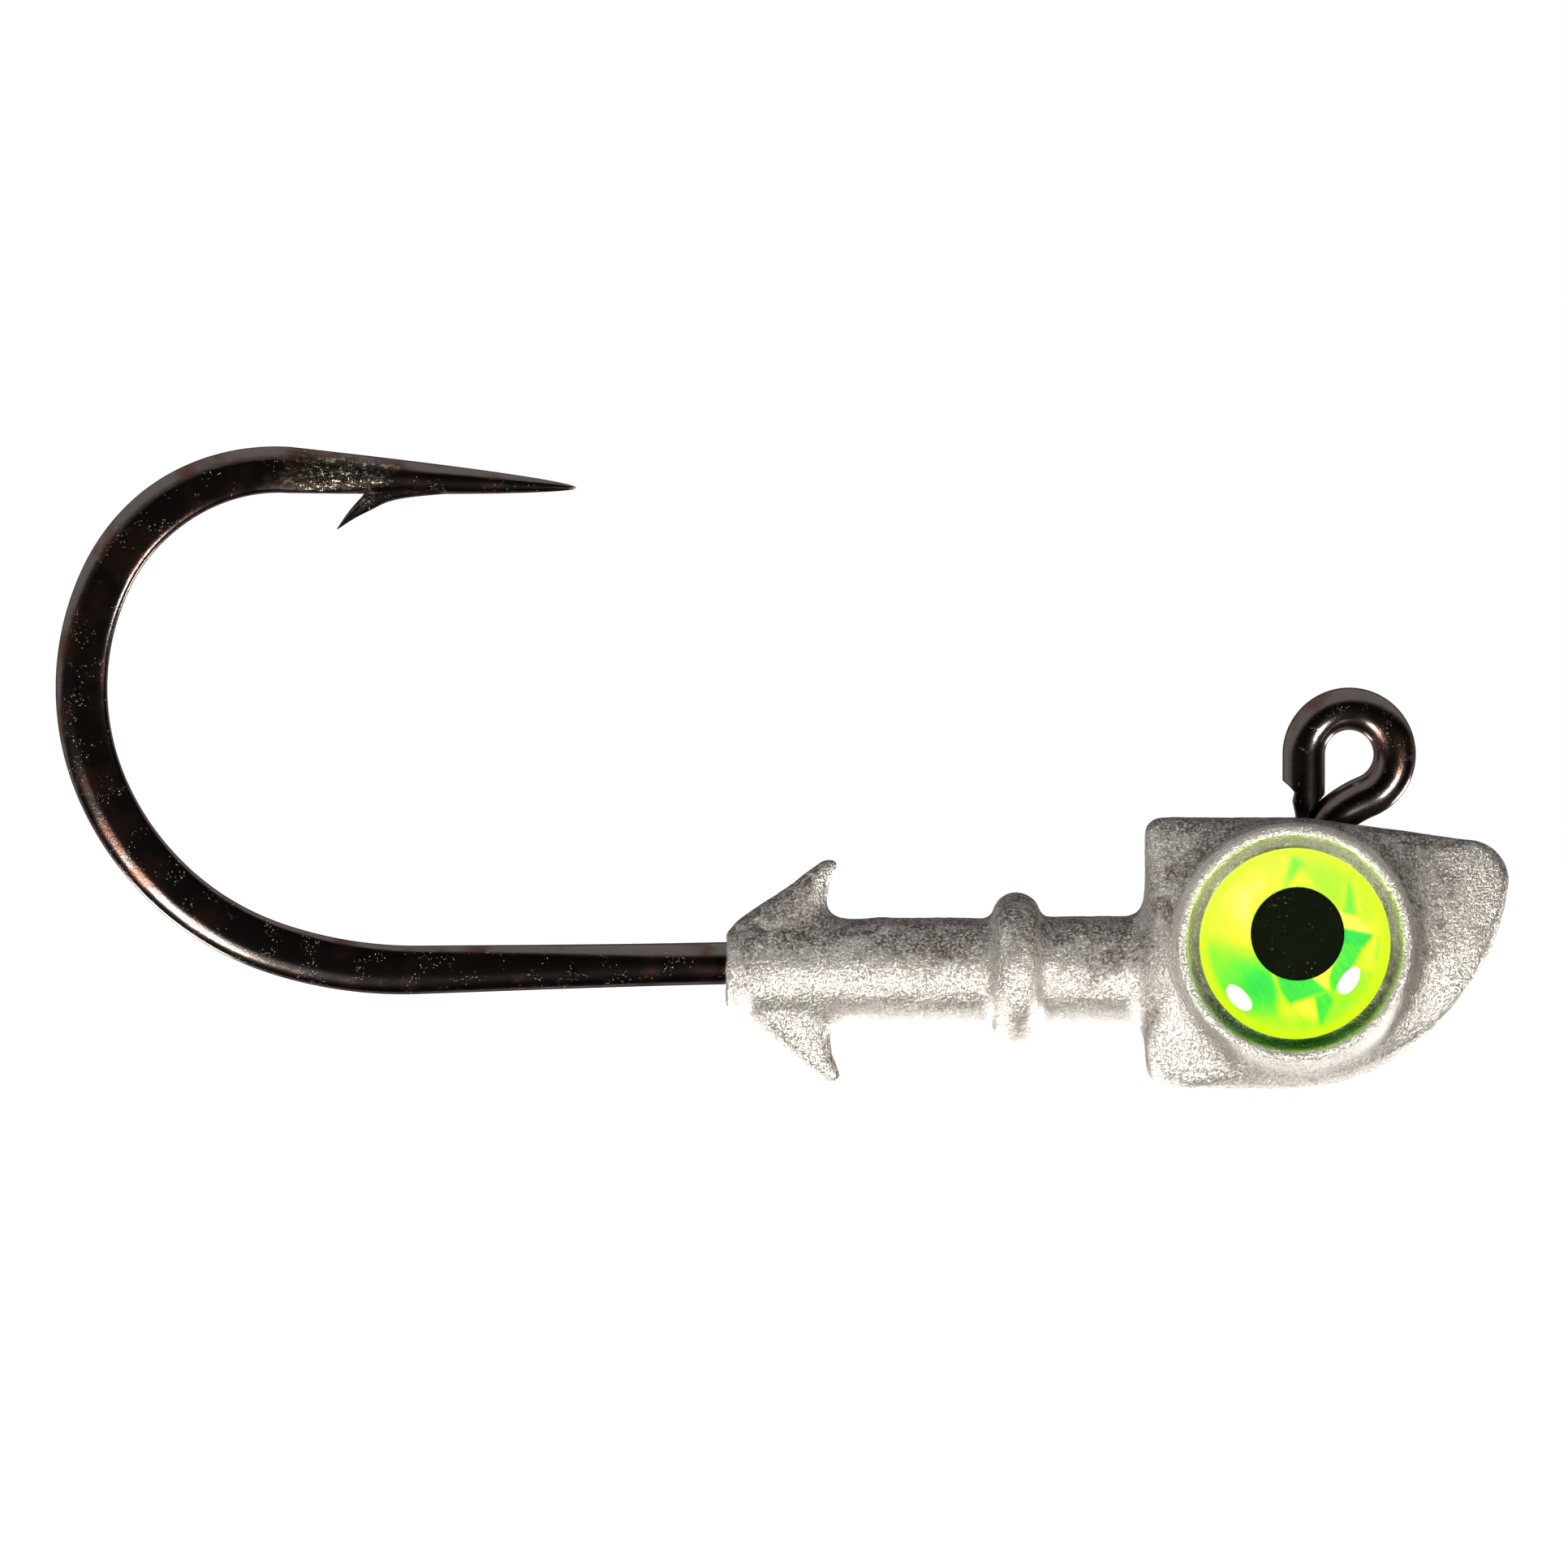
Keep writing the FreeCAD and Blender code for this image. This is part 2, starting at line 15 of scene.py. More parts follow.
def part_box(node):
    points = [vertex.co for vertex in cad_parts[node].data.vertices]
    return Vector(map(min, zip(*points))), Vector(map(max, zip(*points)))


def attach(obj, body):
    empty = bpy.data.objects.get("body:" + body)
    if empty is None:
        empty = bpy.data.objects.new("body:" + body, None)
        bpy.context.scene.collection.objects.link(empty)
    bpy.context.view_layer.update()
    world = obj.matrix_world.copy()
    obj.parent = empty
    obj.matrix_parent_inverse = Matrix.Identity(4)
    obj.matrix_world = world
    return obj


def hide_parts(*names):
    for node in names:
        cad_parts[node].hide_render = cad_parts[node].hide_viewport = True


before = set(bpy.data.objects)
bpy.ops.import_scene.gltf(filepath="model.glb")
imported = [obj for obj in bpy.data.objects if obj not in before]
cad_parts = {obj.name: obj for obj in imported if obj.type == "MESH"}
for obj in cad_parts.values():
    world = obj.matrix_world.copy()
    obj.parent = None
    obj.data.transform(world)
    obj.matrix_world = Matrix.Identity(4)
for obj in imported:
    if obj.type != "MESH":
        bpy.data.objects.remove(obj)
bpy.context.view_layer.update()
MM = 0.001
print("CAD nodes:", sorted(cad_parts))


def node_box(name):
    """Lowest and highest corner of a CAD node, in millimetres."""
    low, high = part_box(name)
    return np.array(low) / MM, np.array(high) / MM


# %% [markdown]
# The camera looks level along +Y at the right-hand side, from far off with a long lens, so that the
# hook's ring and bend keep their true outline. White is kept white by the Standard view transform,
# because a filmic one would turn the pale ground grey and dull the fluorescent eye.

# %% Camera
FRAME_WIDTH = 57.55               # mm of the object's plane that the camera takes in
FRAME_CENTRE = (-20.744, -1.093)  # x and z, mm
CAMERA_AWAY = 1.0                 # metres
SENSOR = 36.0                     # mm

lens = bpy.data.cameras.new("camera")
lens.sensor_width = SENSOR
lens.lens = SENSOR * CAMERA_AWAY / (FRAME_WIDTH * MM)
lens.clip_start, lens.clip_end = 0.01, 20.0
camera = bpy.data.objects.new("camera", lens)
camera.location = (FRAME_CENTRE[0] * MM, -CAMERA_AWAY, FRAME_CENTRE[1] * MM)
camera.rotation_euler = (math.radians(90), 0, 0)
scene = bpy.context.scene
scene.collection.objects.link(camera)
scene.camera = camera
scene.view_settings.view_transform = "Standard"
print(f"lens {lens.lens:.0f} mm at {CAMERA_AWAY} m")


# %% [markdown]
# Shader networks are sums and products of masks, which read best as sums and products. A small class
# wraps an output socket, so that an expression such as 1 - mask * 0.5 adds its own Math nodes. One
# method makes every other kind of node: its type, its settings, then its sockets.

# %% A finish and its sockets
def srgb(code):
    """Linear RGBA of a hex colour: each channel to the power 2.4 above the short straight foot."""
    channel = np.array([int(code[i:i + 2], 16) for i in (1, 3, 5)]) / 255
    linear = np.where(channel < 0.04045, channel / 12.92, ((channel + 0.055) / 1.055) ** 2.4)
    return (*linear, 1.0)


class Socket:
    """An output socket that can be added, subtracted, multiplied, divided and raised to a power."""

    def __init__(self, finish, out):
        self.finish, self.out = finish, out

    def math(self, operation, *values):
        return self.finish.node("ShaderNodeMath", {"operation": operation}, dict(enumerate(values)))

    def __add__(self, other):
        return self.math("ADD", self, other)

    def __sub__(self, other):
        return self.math("SUBTRACT", self, other)

    def __mul__(self, other):
        return self.math("MULTIPLY", self, other)

    def __truediv__(self, other):
        return self.math("DIVIDE", self, other)

    def __pow__(self, other):
        return self.math("POWER", self, other)

    def __rsub__(self, other):
        return self.math("SUBTRACT", other, self)

    def __rtruediv__(self, other):
        return self.math("DIVIDE", other, self)

    __radd__ = __add__
    __rmul__ = __mul__

    def most(self, other):
        """The larger of the two."""
        return self.math("MAXIMUM", self, other)

    def size(self):
        """The value without its sign."""
        return self.math("ABSOLUTE", self)

    def step(self, low, high):
        """Smooth step: 0 at low, 1 at high, and the other way round when low is the larger."""
        return self.finish.node("ShaderNodeMapRange", {"interpolation_type": "SMOOTHSTEP"},
                                {"Value": self, "From Min": low, "From Max": high})


class Finish:
    """One material, or the world, while its nodes are being wired."""

    def __init__(self, tree):
        self.tree = tree
        tree.nodes.clear()

    def node(self, kind, settings=None, inputs=None, output=0):
        """One node: its settings first, then the value or the link of each socket."""
        made = self.tree.nodes.new(kind)
        for key, value in (settings or {}).items():
            if key == "stops":
                ramp = made.color_ramp
                while len(ramp.elements) < len(value):
                    ramp.elements.new(0.5)
                for element, (position, colour) in zip(ramp.elements, value):
                    element.position, element.color = position, colour
            else:
                setattr(made, key, value)
        for key, value in (inputs or {}).items():
            if isinstance(value, Socket):
                self.tree.links.new(value.out, made.inputs[key])
            else:
                made.inputs[key].default_value = value
        return Socket(self, made.outputs[output]) if made.outputs else None

    def mix(self, factor, low, high):
        """Colour that goes from low to high as the factor goes from 0 to 1."""
        return self.node("ShaderNodeMix", {"data_type": "RGBA"}, {0: factor, 6: low, 7: high}, output=2)

    def object_point(self):
        return self.node("ShaderNodeTexCoord", output="Object")

    def attribute(self, name):
        return self.node("ShaderNodeAttribute", {"attribute_name": name}, output="Fac")

    def axes(self, vector):
        return [self.node("ShaderNodeSeparateXYZ", None, {0: vector}, output=i) for i in range(3)]

    def noise(self, point, cell_mm, detail=2.0, roughness=0.5):
        """Noise from 0 to 1 with blots about this many millimetres across."""
        return self.node("ShaderNodeTexNoise", None, {"Vector": point, "Scale": 1 / (cell_mm * MM),
                                                      "Detail": detail, "Roughness": roughness})

    def cells(self, point, cell_mm):
        """Distance from the seeds of Voronoi cells of this size, in cells."""
        return self.node("ShaderNodeTexVoronoi", None, {"Vector": point, "Scale": 1 / (cell_mm * MM)})

    def stretched(self, point, scale):
        """The point with each axis scaled, which draws a pattern out along the small ones."""
        return self.node("ShaderNodeMapping", None, {"Vector": point, "Scale": scale})

    def turned(self, point, angle):
        """The point turned about Y, so that a stretched pattern runs at a slant."""
        return self.node("ShaderNodeMapping", None, {"Vector": point, "Rotation": (0, angle, 0)})

    def bump(self, height, depth_mm, normal=None):
        """Height from 0 to 1 turned into a bend of the normal, for relief of this depth."""
        inputs = {"Height": height, "Distance": depth_mm * MM, "Strength": 1.0}
        if normal is not None:
            inputs["Normal"] = normal
        return self.node("ShaderNodeBump", None, inputs)

    def skin(self, **sockets):
        """The Principled shader, with its sockets named with _ for spaces, and the output behind it."""
        named = {key.replace("_", " "): value for key, value in sockets.items()}
        shader = self.node("ShaderNodeBsdfPrincipled", None, named)
        self.node_output(shader)

    def node_output(self, shader, kind="ShaderNodeOutputMaterial"):
        self.node(kind, None, {"Surface": shader})


def new_finish(name):
    """A new material and the Finish that wires it."""
    material = bpy.data.materials.new(name)
    material.use_nodes = True
    return material, Finish(material.node_tree)


def node_count(*materials):
    """How many nodes each finish has, for the print at the end of its cell."""
    return ", ".join(f"{material.name} {len(material.node_tree.nodes)} nodes" for material in materials)


print("mid grey in linear light:", round(float(srgb("#808080")[0]), 3))


# %% [markdown]
# A surface here is a grid of points worked out as whole arrays. The grid may close round one way, as
# a wire does, and a closed tube gets a point at each end, so that it holds water.

# %% Grids into meshes
def add_piece(name, vertices_mm, faces):
    """An object at the origin with its place in its mesh, from points in millimetres."""
    mesh = bpy.data.meshes.new(name)
    mesh.from_pydata((np.asarray(vertices_mm) * MM).tolist(), [], faces)
    mesh.shade_smooth()
    piece = bpy.data.objects.new(name, mesh)
    scene.collection.objects.link(piece)
    return piece


def tube_faces(rows, columns):
    """Quads between rows of points that close round, and a fan to one extra point at each end."""
    row, column = np.meshgrid(np.arange(rows - 1), np.arange(columns), indexing="ij")
    onward = (column + 1) % columns
    quads = np.stack([row * columns + column, (row + 1) * columns + column,
                      (row + 1) * columns + onward, row * columns + onward], -1).reshape(-1, 4)
    ring = np.arange(columns)
    onward = (ring + 1) % columns
    last_row, first_tip, last_tip = (rows - 1) * columns, rows * columns, rows * columns + 1
    start = np.stack([np.full(columns, first_tip), ring, onward], -1)
    end = np.stack([np.full(columns, last_tip), last_row + onward, last_row + ring], -1)
    return quads.tolist() + start.tolist() + end.tolist()


def tube(name, grid, flip=False):
    """A closed tube from a rows x columns x 3 grid whose columns go round."""
    rows, columns = grid.shape[:2]
    vertices = np.vstack([grid.reshape(-1, 3), grid[0].mean(0), grid[-1].mean(0)])
    piece = add_piece(name, vertices, tube_faces(rows, columns))
    if flip:
        piece.data.flip_normals()
    return piece


def paint(piece, name, values):
    """Stores one number for each vertex as an attribute that a material can read."""
    layer = piece.data.attributes.new(name, "FLOAT", "POINT")
    layer.data.foreach_set("value", np.asarray(values, np.float32))


def vertices_of(mesh):
    """A mesh's points as rows of x, y and z."""
    flat = np.empty(len(mesh.vertices) * 3, np.float32)
    mesh.vertices.foreach_get("co", flat)
    return flat.reshape(-1, 3).astype(float)


def freeze(piece):
    """Replaces a piece's mesh with what its modifiers make of it."""
    ready = piece.evaluated_get(bpy.context.evaluated_depsgraph_get())
    mesh = bpy.data.meshes.new_from_object(ready)
    piece.modifiers.clear()
    old, piece.data = piece.data, mesh
    bpy.data.meshes.remove(old)
    mesh.name = piece.name
    mesh.materials.clear()
    mesh.shade_smooth()


def smooth_step(low, high, share):
    """From low to high as share goes from 0 to 1, level at both ends: share squared x (3 - 2 share)."""
    share = np.clip(share, 0, 1)
    return low + (high - low) * share * share * (3 - 2 * share)


def fade(values, low, high):
    """0 at low and 1 at high, and the other way round when low is the larger, level at both ends."""
    return smooth_step(0, 1, (values - low) / (high - low))


LATTICE = 64              # the random numbers repeat after this many cells


def lattice_noise(points, cell, seed):
    """Noise between -1 and 1: random numbers on a cubic lattice, blended smoothly between its corners."""
    table = np.random.default_rng(seed).uniform(-1, 1, (LATTICE,) * 3)
    places = points / cell
    corner = np.floor(places).astype(int)
    share = smooth_step(0, 1, places - corner)
    total = np.zeros(len(points))
    for step in itertools.product((0, 1), repeat=3):
        weight = np.prod(np.where(step, share, 1 - share), axis=1)
        x, y, z = ((corner + step) % LATTICE).T
        total += weight * table[x, y, z]
    return total


print("a tube of 3 rows and 8 columns has", len(tube_faces(3, 8)), "faces")


# %% [markdown]
# The hook is one piece of round spring wire. A maker cuts it, rolls the line eye, bends the heel,
# forges the bend flat, grinds the needle point and raises the barb with a blade. A curve with a bevel
# could carry a round wire, but not one whose section changes, so the section here is a formula: a
# superellipse that goes from round to flat-sided and back to round, carried along a route of straight
# runs and tangent arcs.

# %% The wire's route
WIRE_D = 1.56                          # every length is in mm and every turn in degrees
RING_R, TAIL, WRAP = 1.67, 2.50, 247.3    # the line eye, its straight tail and how far it wraps
LEAD_R, LEAD_TURN = 4.60, 22.0         # the wide bend from the ring towards the stem
STEM_BEND_R, HEEL_R = 1.20, 2.20
SHANK_Z, SHANK_TILT = -7.247, 1.24
BEND = [(15.58, 19.1), (10.62, 48.1), (9.37, 50.3), (6.94, 67.3)]    # radius and turn of each arc
BARE_SHANK, COVERED, POINT_L = 11.30, 0.60, 10.55
COLLAR_TIP_X = node_box("head_casting")[0][0]


class Route:
    """Straight runs and tangent arcs in the XZ plane, in millimetres and degrees from +X."""

    def __init__(self, x, z, degrees):
        self.pieces = []
        self.x, self.z, self.angle = x, z, math.radians(degrees)
        self.length = 0.0

    def run(self, length):
        self.pieces.append((self.length, self.x, self.z, self.angle, 0.0))
        self.x += length * math.cos(self.angle)
        self.z += length * math.sin(self.angle)
        self.length += length

    def turn(self, radius, degrees):
        """Left for positive degrees, right for negative ones."""
        signed = math.copysign(radius, degrees)
        self.pieces.append((self.length, self.x, self.z, self.angle, signed))
        end = self.angle + math.radians(degrees)
        self.x += signed * (math.sin(end) - math.sin(self.angle))
        self.z -= signed * (math.cos(end) - math.cos(self.angle))
        self.angle = end
        self.length += radius * math.radians(abs(degrees))

    def at(self, s):
        """x, z and heading at distances s. On an arc of radius R the heading grows by distance / R."""
        x, z, angle = np.zeros_like(s), np.zeros_like(s), np.zeros_like(s)
        for start, x0, z0, a0, radius in self.pieces:
            here = s >= start - 1e-9
            t = s[here] - start
            a = a0 + (t / radius if radius else 0 * t)
            x[here] = x0 + (radius * (np.sin(a) - math.sin(a0)) if radius else t * math.cos(a0))
            z[here] = z0 - (radius * (np.cos(a) - math.cos(a0)) if radius else -t * math.sin(a0))
            angle[here] = a
        return x, z, angle


route = Route(-RING_R, -TAIL, 90)
route.run(TAIL)
route.turn(RING_R, -WRAP)
route.turn(LEAD_R, LEAD_TURN)
route.turn(STEM_BEND_R, WRAP - 180 - LEAD_TURN)
route.run(route.z - (SHANK_Z + HEEL_R))
route.turn(HEEL_R, -(90 - SHANK_TILT))
route.run((route.x - COLLAR_TIP_X + COVERED) / math.cos(math.radians(SHANK_TILT)))
FORGED_START = route.length
route.run((route.x - (COLLAR_TIP_X - BARE_SHANK)) / math.cos(math.radians(SHANK_TILT)))
for bend_radius, turned in BEND:
    route.turn(bend_radius, -turned)
TAPER_START = route.length
route.run(POINT_L)
print(f"wire {route.length:.1f} mm long, tip at {route.x:.2f}, {route.z:.2f}")


# %% The wire's changing section
FORGED_W, FORGED_T, POINT_W, TIP_R = 1.90, 1.22, 1.70, 0.02
FORGED_FROM, FORGED_TO = 0.42, 0.86    # shares of the forged stretch
ROUND, SQUARE = 2.0, 3.5
OUTER_ROUNDNESS = 0.75    # how far the outer half goes back towards round
INNER_SHARPNESS = 1.2     # and how much squarer the inner half is
POINT_FULLNESS, POINT_ROUND_SHARE = 0.62, 0.40


def wire_section(s):
    """Width in the hook's plane, thickness along Y and squareness at distances s along the wire.

    The width and squareness grow by a smooth step over the forged stretch and shrink again before the
    point, which tapers by the rest of its length to the power of its fullness.
    """
    along = s - FORGED_START
    forged_length = TAPER_START - FORGED_START
    flat = smooth_step(0, 1, along / (FORGED_FROM * forged_length))
    leaving = smooth_step(0, 1, (along / forged_length - FORGED_TO) / (1 - FORGED_TO))
    across = WIRE_D + (FORGED_W - WIRE_D) * flat - (FORGED_W - POINT_W) * leaving
    thick = WIRE_D + (FORGED_T - WIRE_D) * flat
    share = np.clip((s - TAPER_START) / POINT_L, 0, 1)
    turned_round = smooth_step(0, 1, share / POINT_ROUND_SHARE)
    across = 2 * TIP_R + (across - 2 * TIP_R) * (1 - share) ** POINT_FULLNESS
    thick = np.minimum(thick, across) * (1 - turned_round) + across * turned_round
    squareness = ROUND + (SQUARE - ROUND) * flat * (1 - turned_round)
    return across, thick, squareness


def superellipse(columns, across, thick, squareness):
    """Points round each section: cosine and sine, each to the power 2 / squareness, sign kept.

    The outer half of a forged section is rounder than the inner half, which the die squares off.
    """
    turn = np.linspace(0, 2 * np.pi, columns, endpoint=False)[None, :]
    c, s = np.cos(turn), np.sin(turn)
    square = np.asarray(squareness)[:, None]
    outer = smooth_step(0, 1, c + 0.5)
    power = 2 / (square + (square - ROUND) * (INNER_SHARPNESS * (1 - outer) - OUTER_ROUNDNESS * outer))
    out = np.sign(c) * np.abs(c) ** power * np.asarray(across)[:, None] / 2
    side = np.sign(s) * np.abs(s) ** power * np.asarray(thick)[:, None] / 2
    return out, side


def carry(x, z, angle, out, side):
    """Sets sections square to a route: out lies to the left of the heading, side along Y."""
    return np.stack([x[:, None] - out * np.sin(angle)[:, None], side,
                     z[:, None] + out * np.cos(angle)[:, None]], -1)


middle = wire_section(np.array([(FORGED_START + TAPER_START) / 2]))
print("forged section: {:.2f} mm wide, {:.2f} mm thick, squareness {:.1f}".format(*np.ravel(middle)))

# %% [markdown]
# Three places on the wire aren't swept. The cut end of the ring is sheared at a slant on its outside,
# and its inner side is pressed against the wide bend that leaves the ring. A shallow flat behind the
# barb shows where the blade went in. A boolean cutter could make each one, but it is enough to hold
# the swept points back to a line, which leaves a true facet and keeps the grid whole.

# %% Sweep the wire
COLUMNS, STEP = 56, 0.11
POINT_ROWS, CROWDING = 160, 1.6        # rows along the point, closer together towards the tip

body = np.arange(0, TAPER_START, STEP)
point_share = np.linspace(0, 1, POINT_ROWS)
stations = np.concatenate([body, TAPER_START + POINT_L * (1 - (1 - point_share) ** CROWDING)])
hook_grid = carry(*route.at(stations), *superellipse(COLUMNS, *wire_section(stations)))
print("rows and columns of the wire:", hook_grid.shape[:2])

# %% Shear the ring's end and press it to the stem
SHEAR = [(-0.96, 0.0), (-1.18, 0.26), (-1.39, 0.45),        # z, and the depth of the cut there
         (-1.71, 0.37), (-2.16, 0.47), (-2.60, 0.52)]
TAIL_RESTS = [(-0.60, -1.30), (-0.88, -1.47), (-1.30, -1.82),      # x and z of the line it rests on
              (-1.66, -2.16), (-2.05, -2.60)]
REST_ROUND = 0.5          # how far that line follows the roundness of the wire behind it
TAIL_SHARE = 1.05         # the cut reaches a little past the straight tail

on_tail = np.repeat(stations[:, None] < TAIL * TAIL_SHARE, COLUMNS, 1)
rest_x = np.interp(-hook_grid[..., 2], [-z for x, z in TAIL_RESTS], [x for x, z in TAIL_RESTS])
half_chord = np.sqrt(np.maximum(WIRE_D**2 / 4 - hook_grid[..., 1] ** 2, 0))
rest_x = rest_x + REST_ROUND * (WIRE_D / 2 - half_chord)
hook_grid[..., 0] = np.where(on_tail, np.minimum(hook_grid[..., 0], rest_x), hook_grid[..., 0])
shear_depth = np.interp(-hook_grid[..., 2], [-z for z, depth in SHEAR], [depth for z, depth in SHEAR])
shear_x = -RING_R - WIRE_D / 2 + shear_depth
hook_grid[..., 0] = np.where(on_tail, np.maximum(hook_grid[..., 0], shear_x), hook_grid[..., 0])
print(f"sheared end: cut up to {max(depth for z, depth in SHEAR)} mm deep")

# %% Shave the point behind the barb
SHAVED = [(6.70, 0.62), (10.90, 0.98)]    # back from the tip, and the depth left below the centre
SHAVED_ROUGH, SHAVED_CELL = 0.035, 0.22
RUN_IN = 0.5              # the blade starts this much nearer the tip
POINT_REACH = 3.0         # the shaved rows start this far before the taper

tip_x, tip_z, tip_angle = route.x, route.z, route.angle
back_way = np.array([-math.cos(tip_angle), -math.sin(tip_angle)])
down_way = np.array([math.sin(tip_angle), -math.cos(tip_angle)])


def from_tip(back, depth):
    """x and z this far back from the needle tip and this far below the centreline."""
    place = np.array([tip_x, tip_z]) + np.multiply.outer(back, back_way) + np.multiply.outer(depth, down_way)
    return place[..., 0], place[..., 1]


offset = hook_grid[..., [0, 2]] - np.array([tip_x, tip_z])
back, depth = offset @ back_way, offset @ down_way
on_point = np.repeat(stations[:, None] > TAPER_START - POINT_REACH, COLUMNS, 1)
(from_back, from_depth), (to_back, to_depth) = SHAVED
limit = from_depth + (back - from_back) * (to_depth - from_depth) / (to_back - from_back)
ragged = lattice_noise(hook_grid.reshape(-1, 3), SHAVED_CELL, 5).reshape(back.shape) * SHAVED_ROUGH
in_cut = on_point & (back > from_back - RUN_IN) & (back < to_back)
excess = np.where(in_cut, np.maximum(depth - limit - ragged, 0), 0)
hook_grid[..., 0] -= excess * down_way[0]
hook_grid[..., 2] -= excess * down_way[1]
hook = tube("hook_wire", hook_grid, flip=True)
print(f"hook: {len(hook.data.polygons)} faces, shaved up to {excess.max():.2f} mm")

# %% [markdown]
# The barb is a sliver of the same wire, pushed up by the blade: it swells out of the inner side and
# ends in a spike. It is a second swept surface through a few given sections, joined to the wire by
# a union, so that the two are one closed skin.

# %% The barb
# Upper corner and lower corner of each section, as (back from the tip, depth), then its breadth.
BARB = [((5.00, 0.05), (4.60, 0.50), 0.60), ((6.55, 0.10), (6.05, 0.73), 0.72),
        ((7.45, 0.42), (6.85, 0.95), 0.66), ((7.94, 0.95), (7.45, 1.28), 0.46),
        ((8.32, 1.46), (8.06, 1.64), 0.24), ((8.67, 2.05), (8.65, 2.08), 0.04)]
BARB_ROWS, BARB_COLUMNS, BARB_SQUARE = 70, 36, 2.3


def through(values, count):
    """A smooth curve through rows of values: between rows, the cubic that meets their mean slopes."""
    values = np.asarray(values, float)
    slopes = np.gradient(values, axis=0)
    t = np.linspace(0, len(values) - 1, count)
    i = np.minimum(t.astype(int), len(values) - 2)
    u = (t - i)[:, None]
    return ((2 * u**3 - 3 * u**2 + 1) * values[i] + (u**3 - 2 * u**2 + u) * slopes[i]
            + (3 * u**2 - 2 * u**3) * values[i + 1] + (u**3 - u**2) * slopes[i + 1])


barb_rows = through([(*upper, *lower, breadth) for upper, lower, breadth in BARB], BARB_ROWS)
upper_x, upper_z = from_tip(barb_rows[:, 0], barb_rows[:, 1])
lower_x, lower_z = from_tip(barb_rows[:, 2], barb_rows[:, 3])
barb_angle = np.arctan2(upper_z - lower_z, upper_x - lower_x) - np.pi / 2
barb_across = np.hypot(upper_x - lower_x, upper_z - lower_z)
barb_section = superellipse(BARB_COLUMNS, barb_across, np.abs(barb_rows[:, 4]),
                            np.full(BARB_ROWS, BARB_SQUARE))
barb_grid = carry((upper_x + lower_x) / 2, (upper_z + lower_z) / 2, barb_angle, *barb_section)
barb = tube("barb", barb_grid)


def outward(piece):
    """Turns a closed mesh the right way out when its signed volume is negative."""
    mesh = piece.data
    mesh.calc_loop_triangles()
    corners = np.empty(len(mesh.loop_triangles) * 3, np.int32)
    mesh.loop_triangles.foreach_get("vertices", corners)
    a, b, c = vertices_of(mesh)[corners.reshape(-1, 3)].transpose(1, 0, 2)
    volume = np.einsum("ij,ij->i", a, np.cross(b, c)).sum() / 6
    if volume < 0:
        mesh.flip_normals()
    return abs(volume) / MM**3


print(f"wire {outward(hook):.1f} mm3, barb {outward(barb):.2f} mm3")
union = hook.modifiers.new("union", "BOOLEAN")
union.operation, union.solver, union.object = "UNION", "MANIFOLD", barb
freeze(hook)
bpy.data.objects.remove(barb)
print(f"hook with its barb: {outward(hook):.1f} mm3, {len(hook.data.polygons)} faces")

# %% [markdown]
# Black nickel is a dark plated metal, so it is nearly black where it faces something dark and shows a
# warm grey band where it mirrors something pale. The plate follows the wire's drawn and forged skin:
# long shallow scratches, a fine pebble that glitters and a few bright dust specks. Round the barb and
# at the sheared end of the ring the steel was cut after it was drawn, so there the skin is torn and
# darker, and golden glints are painted into its colour as painted highlights. An ellipse round the
# barb and a small box round the cut say where.

# %% Black nickel
SCAR, SCAR_HALF, SCAR_RAGGED = (-37.5, 10.05), (2.9, 1.1), 1.6     # middle and half size, x and z in mm
SHEARED, SHEARED_HALF = (-2.35, -1.75), (0.34, 0.80)
# painted highlight: the painted glints on the torn skin fade in along x between these two
PAINTED_GLINTS_FROM, PAINTED_GLINTS_FULL = SCAR[0] - 2.4, SCAR[0] + 0.2            # x where the glints start, in mm
black_nickel, f = new_finish("black_nickel")
point = f.object_point()
x, _, z = f.axes(point)
pebble = f.noise(point, 0.06, 3.0, 0.6)
patches = f.noise(point, 1.4, 2.0).step(0.46, 0.66)
scuffs = f.noise(f.stretched(point, (0.25, 1.0, 1.0)), 0.16, 3.0)
speck = f.cells(point, 0.16).step(0.10, 0.05) * f.noise(point, 0.7).step(0.55, 0.65)
dust = f.cells(point, 0.10).step(0.26, 0.12) * f.noise(point, 0.8).step(0.50, 0.62)
scar_x = ((x - SCAR[0] * MM) / (SCAR_HALF[0] * MM)) ** 2.0
scar_z = ((z - SCAR[1] * MM) / (SCAR_HALF[1] * MM)) ** 2.0
scar = (scar_x + scar_z + (f.noise(point, 0.6) - 0.5) * SCAR_RAGGED).step(1.2, 0.0)
sheared_x = ((x - SHEARED[0] * MM).size() / (SHEARED_HALF[0] * MM)).step(1.0, 0.4)
sheared_z = ((z - SHEARED[1] * MM).size() / (SHEARED_HALF[1] * MM)).step(1.0, 0.6)
raw = scar.most(sheared_x * sheared_z * 0.6)
torn = f.noise(f.stretched(point, (0.6, 1.0, 1.0)), 0.16, 5.0, 0.75)
painted_glint = raw * torn.step(0.54, 0.60) * (x / MM).step(PAINTED_GLINTS_FROM, PAINTED_GLINTS_FULL)
plate = f.mix(patches, srgb("#7d7470"), srgb("#6b5048"))
plate = f.mix(raw * 0.85, plate, srgb("#2e2a27"))
plate = f.mix(dust * 0.35, plate, srgb("#c9c0b4"))
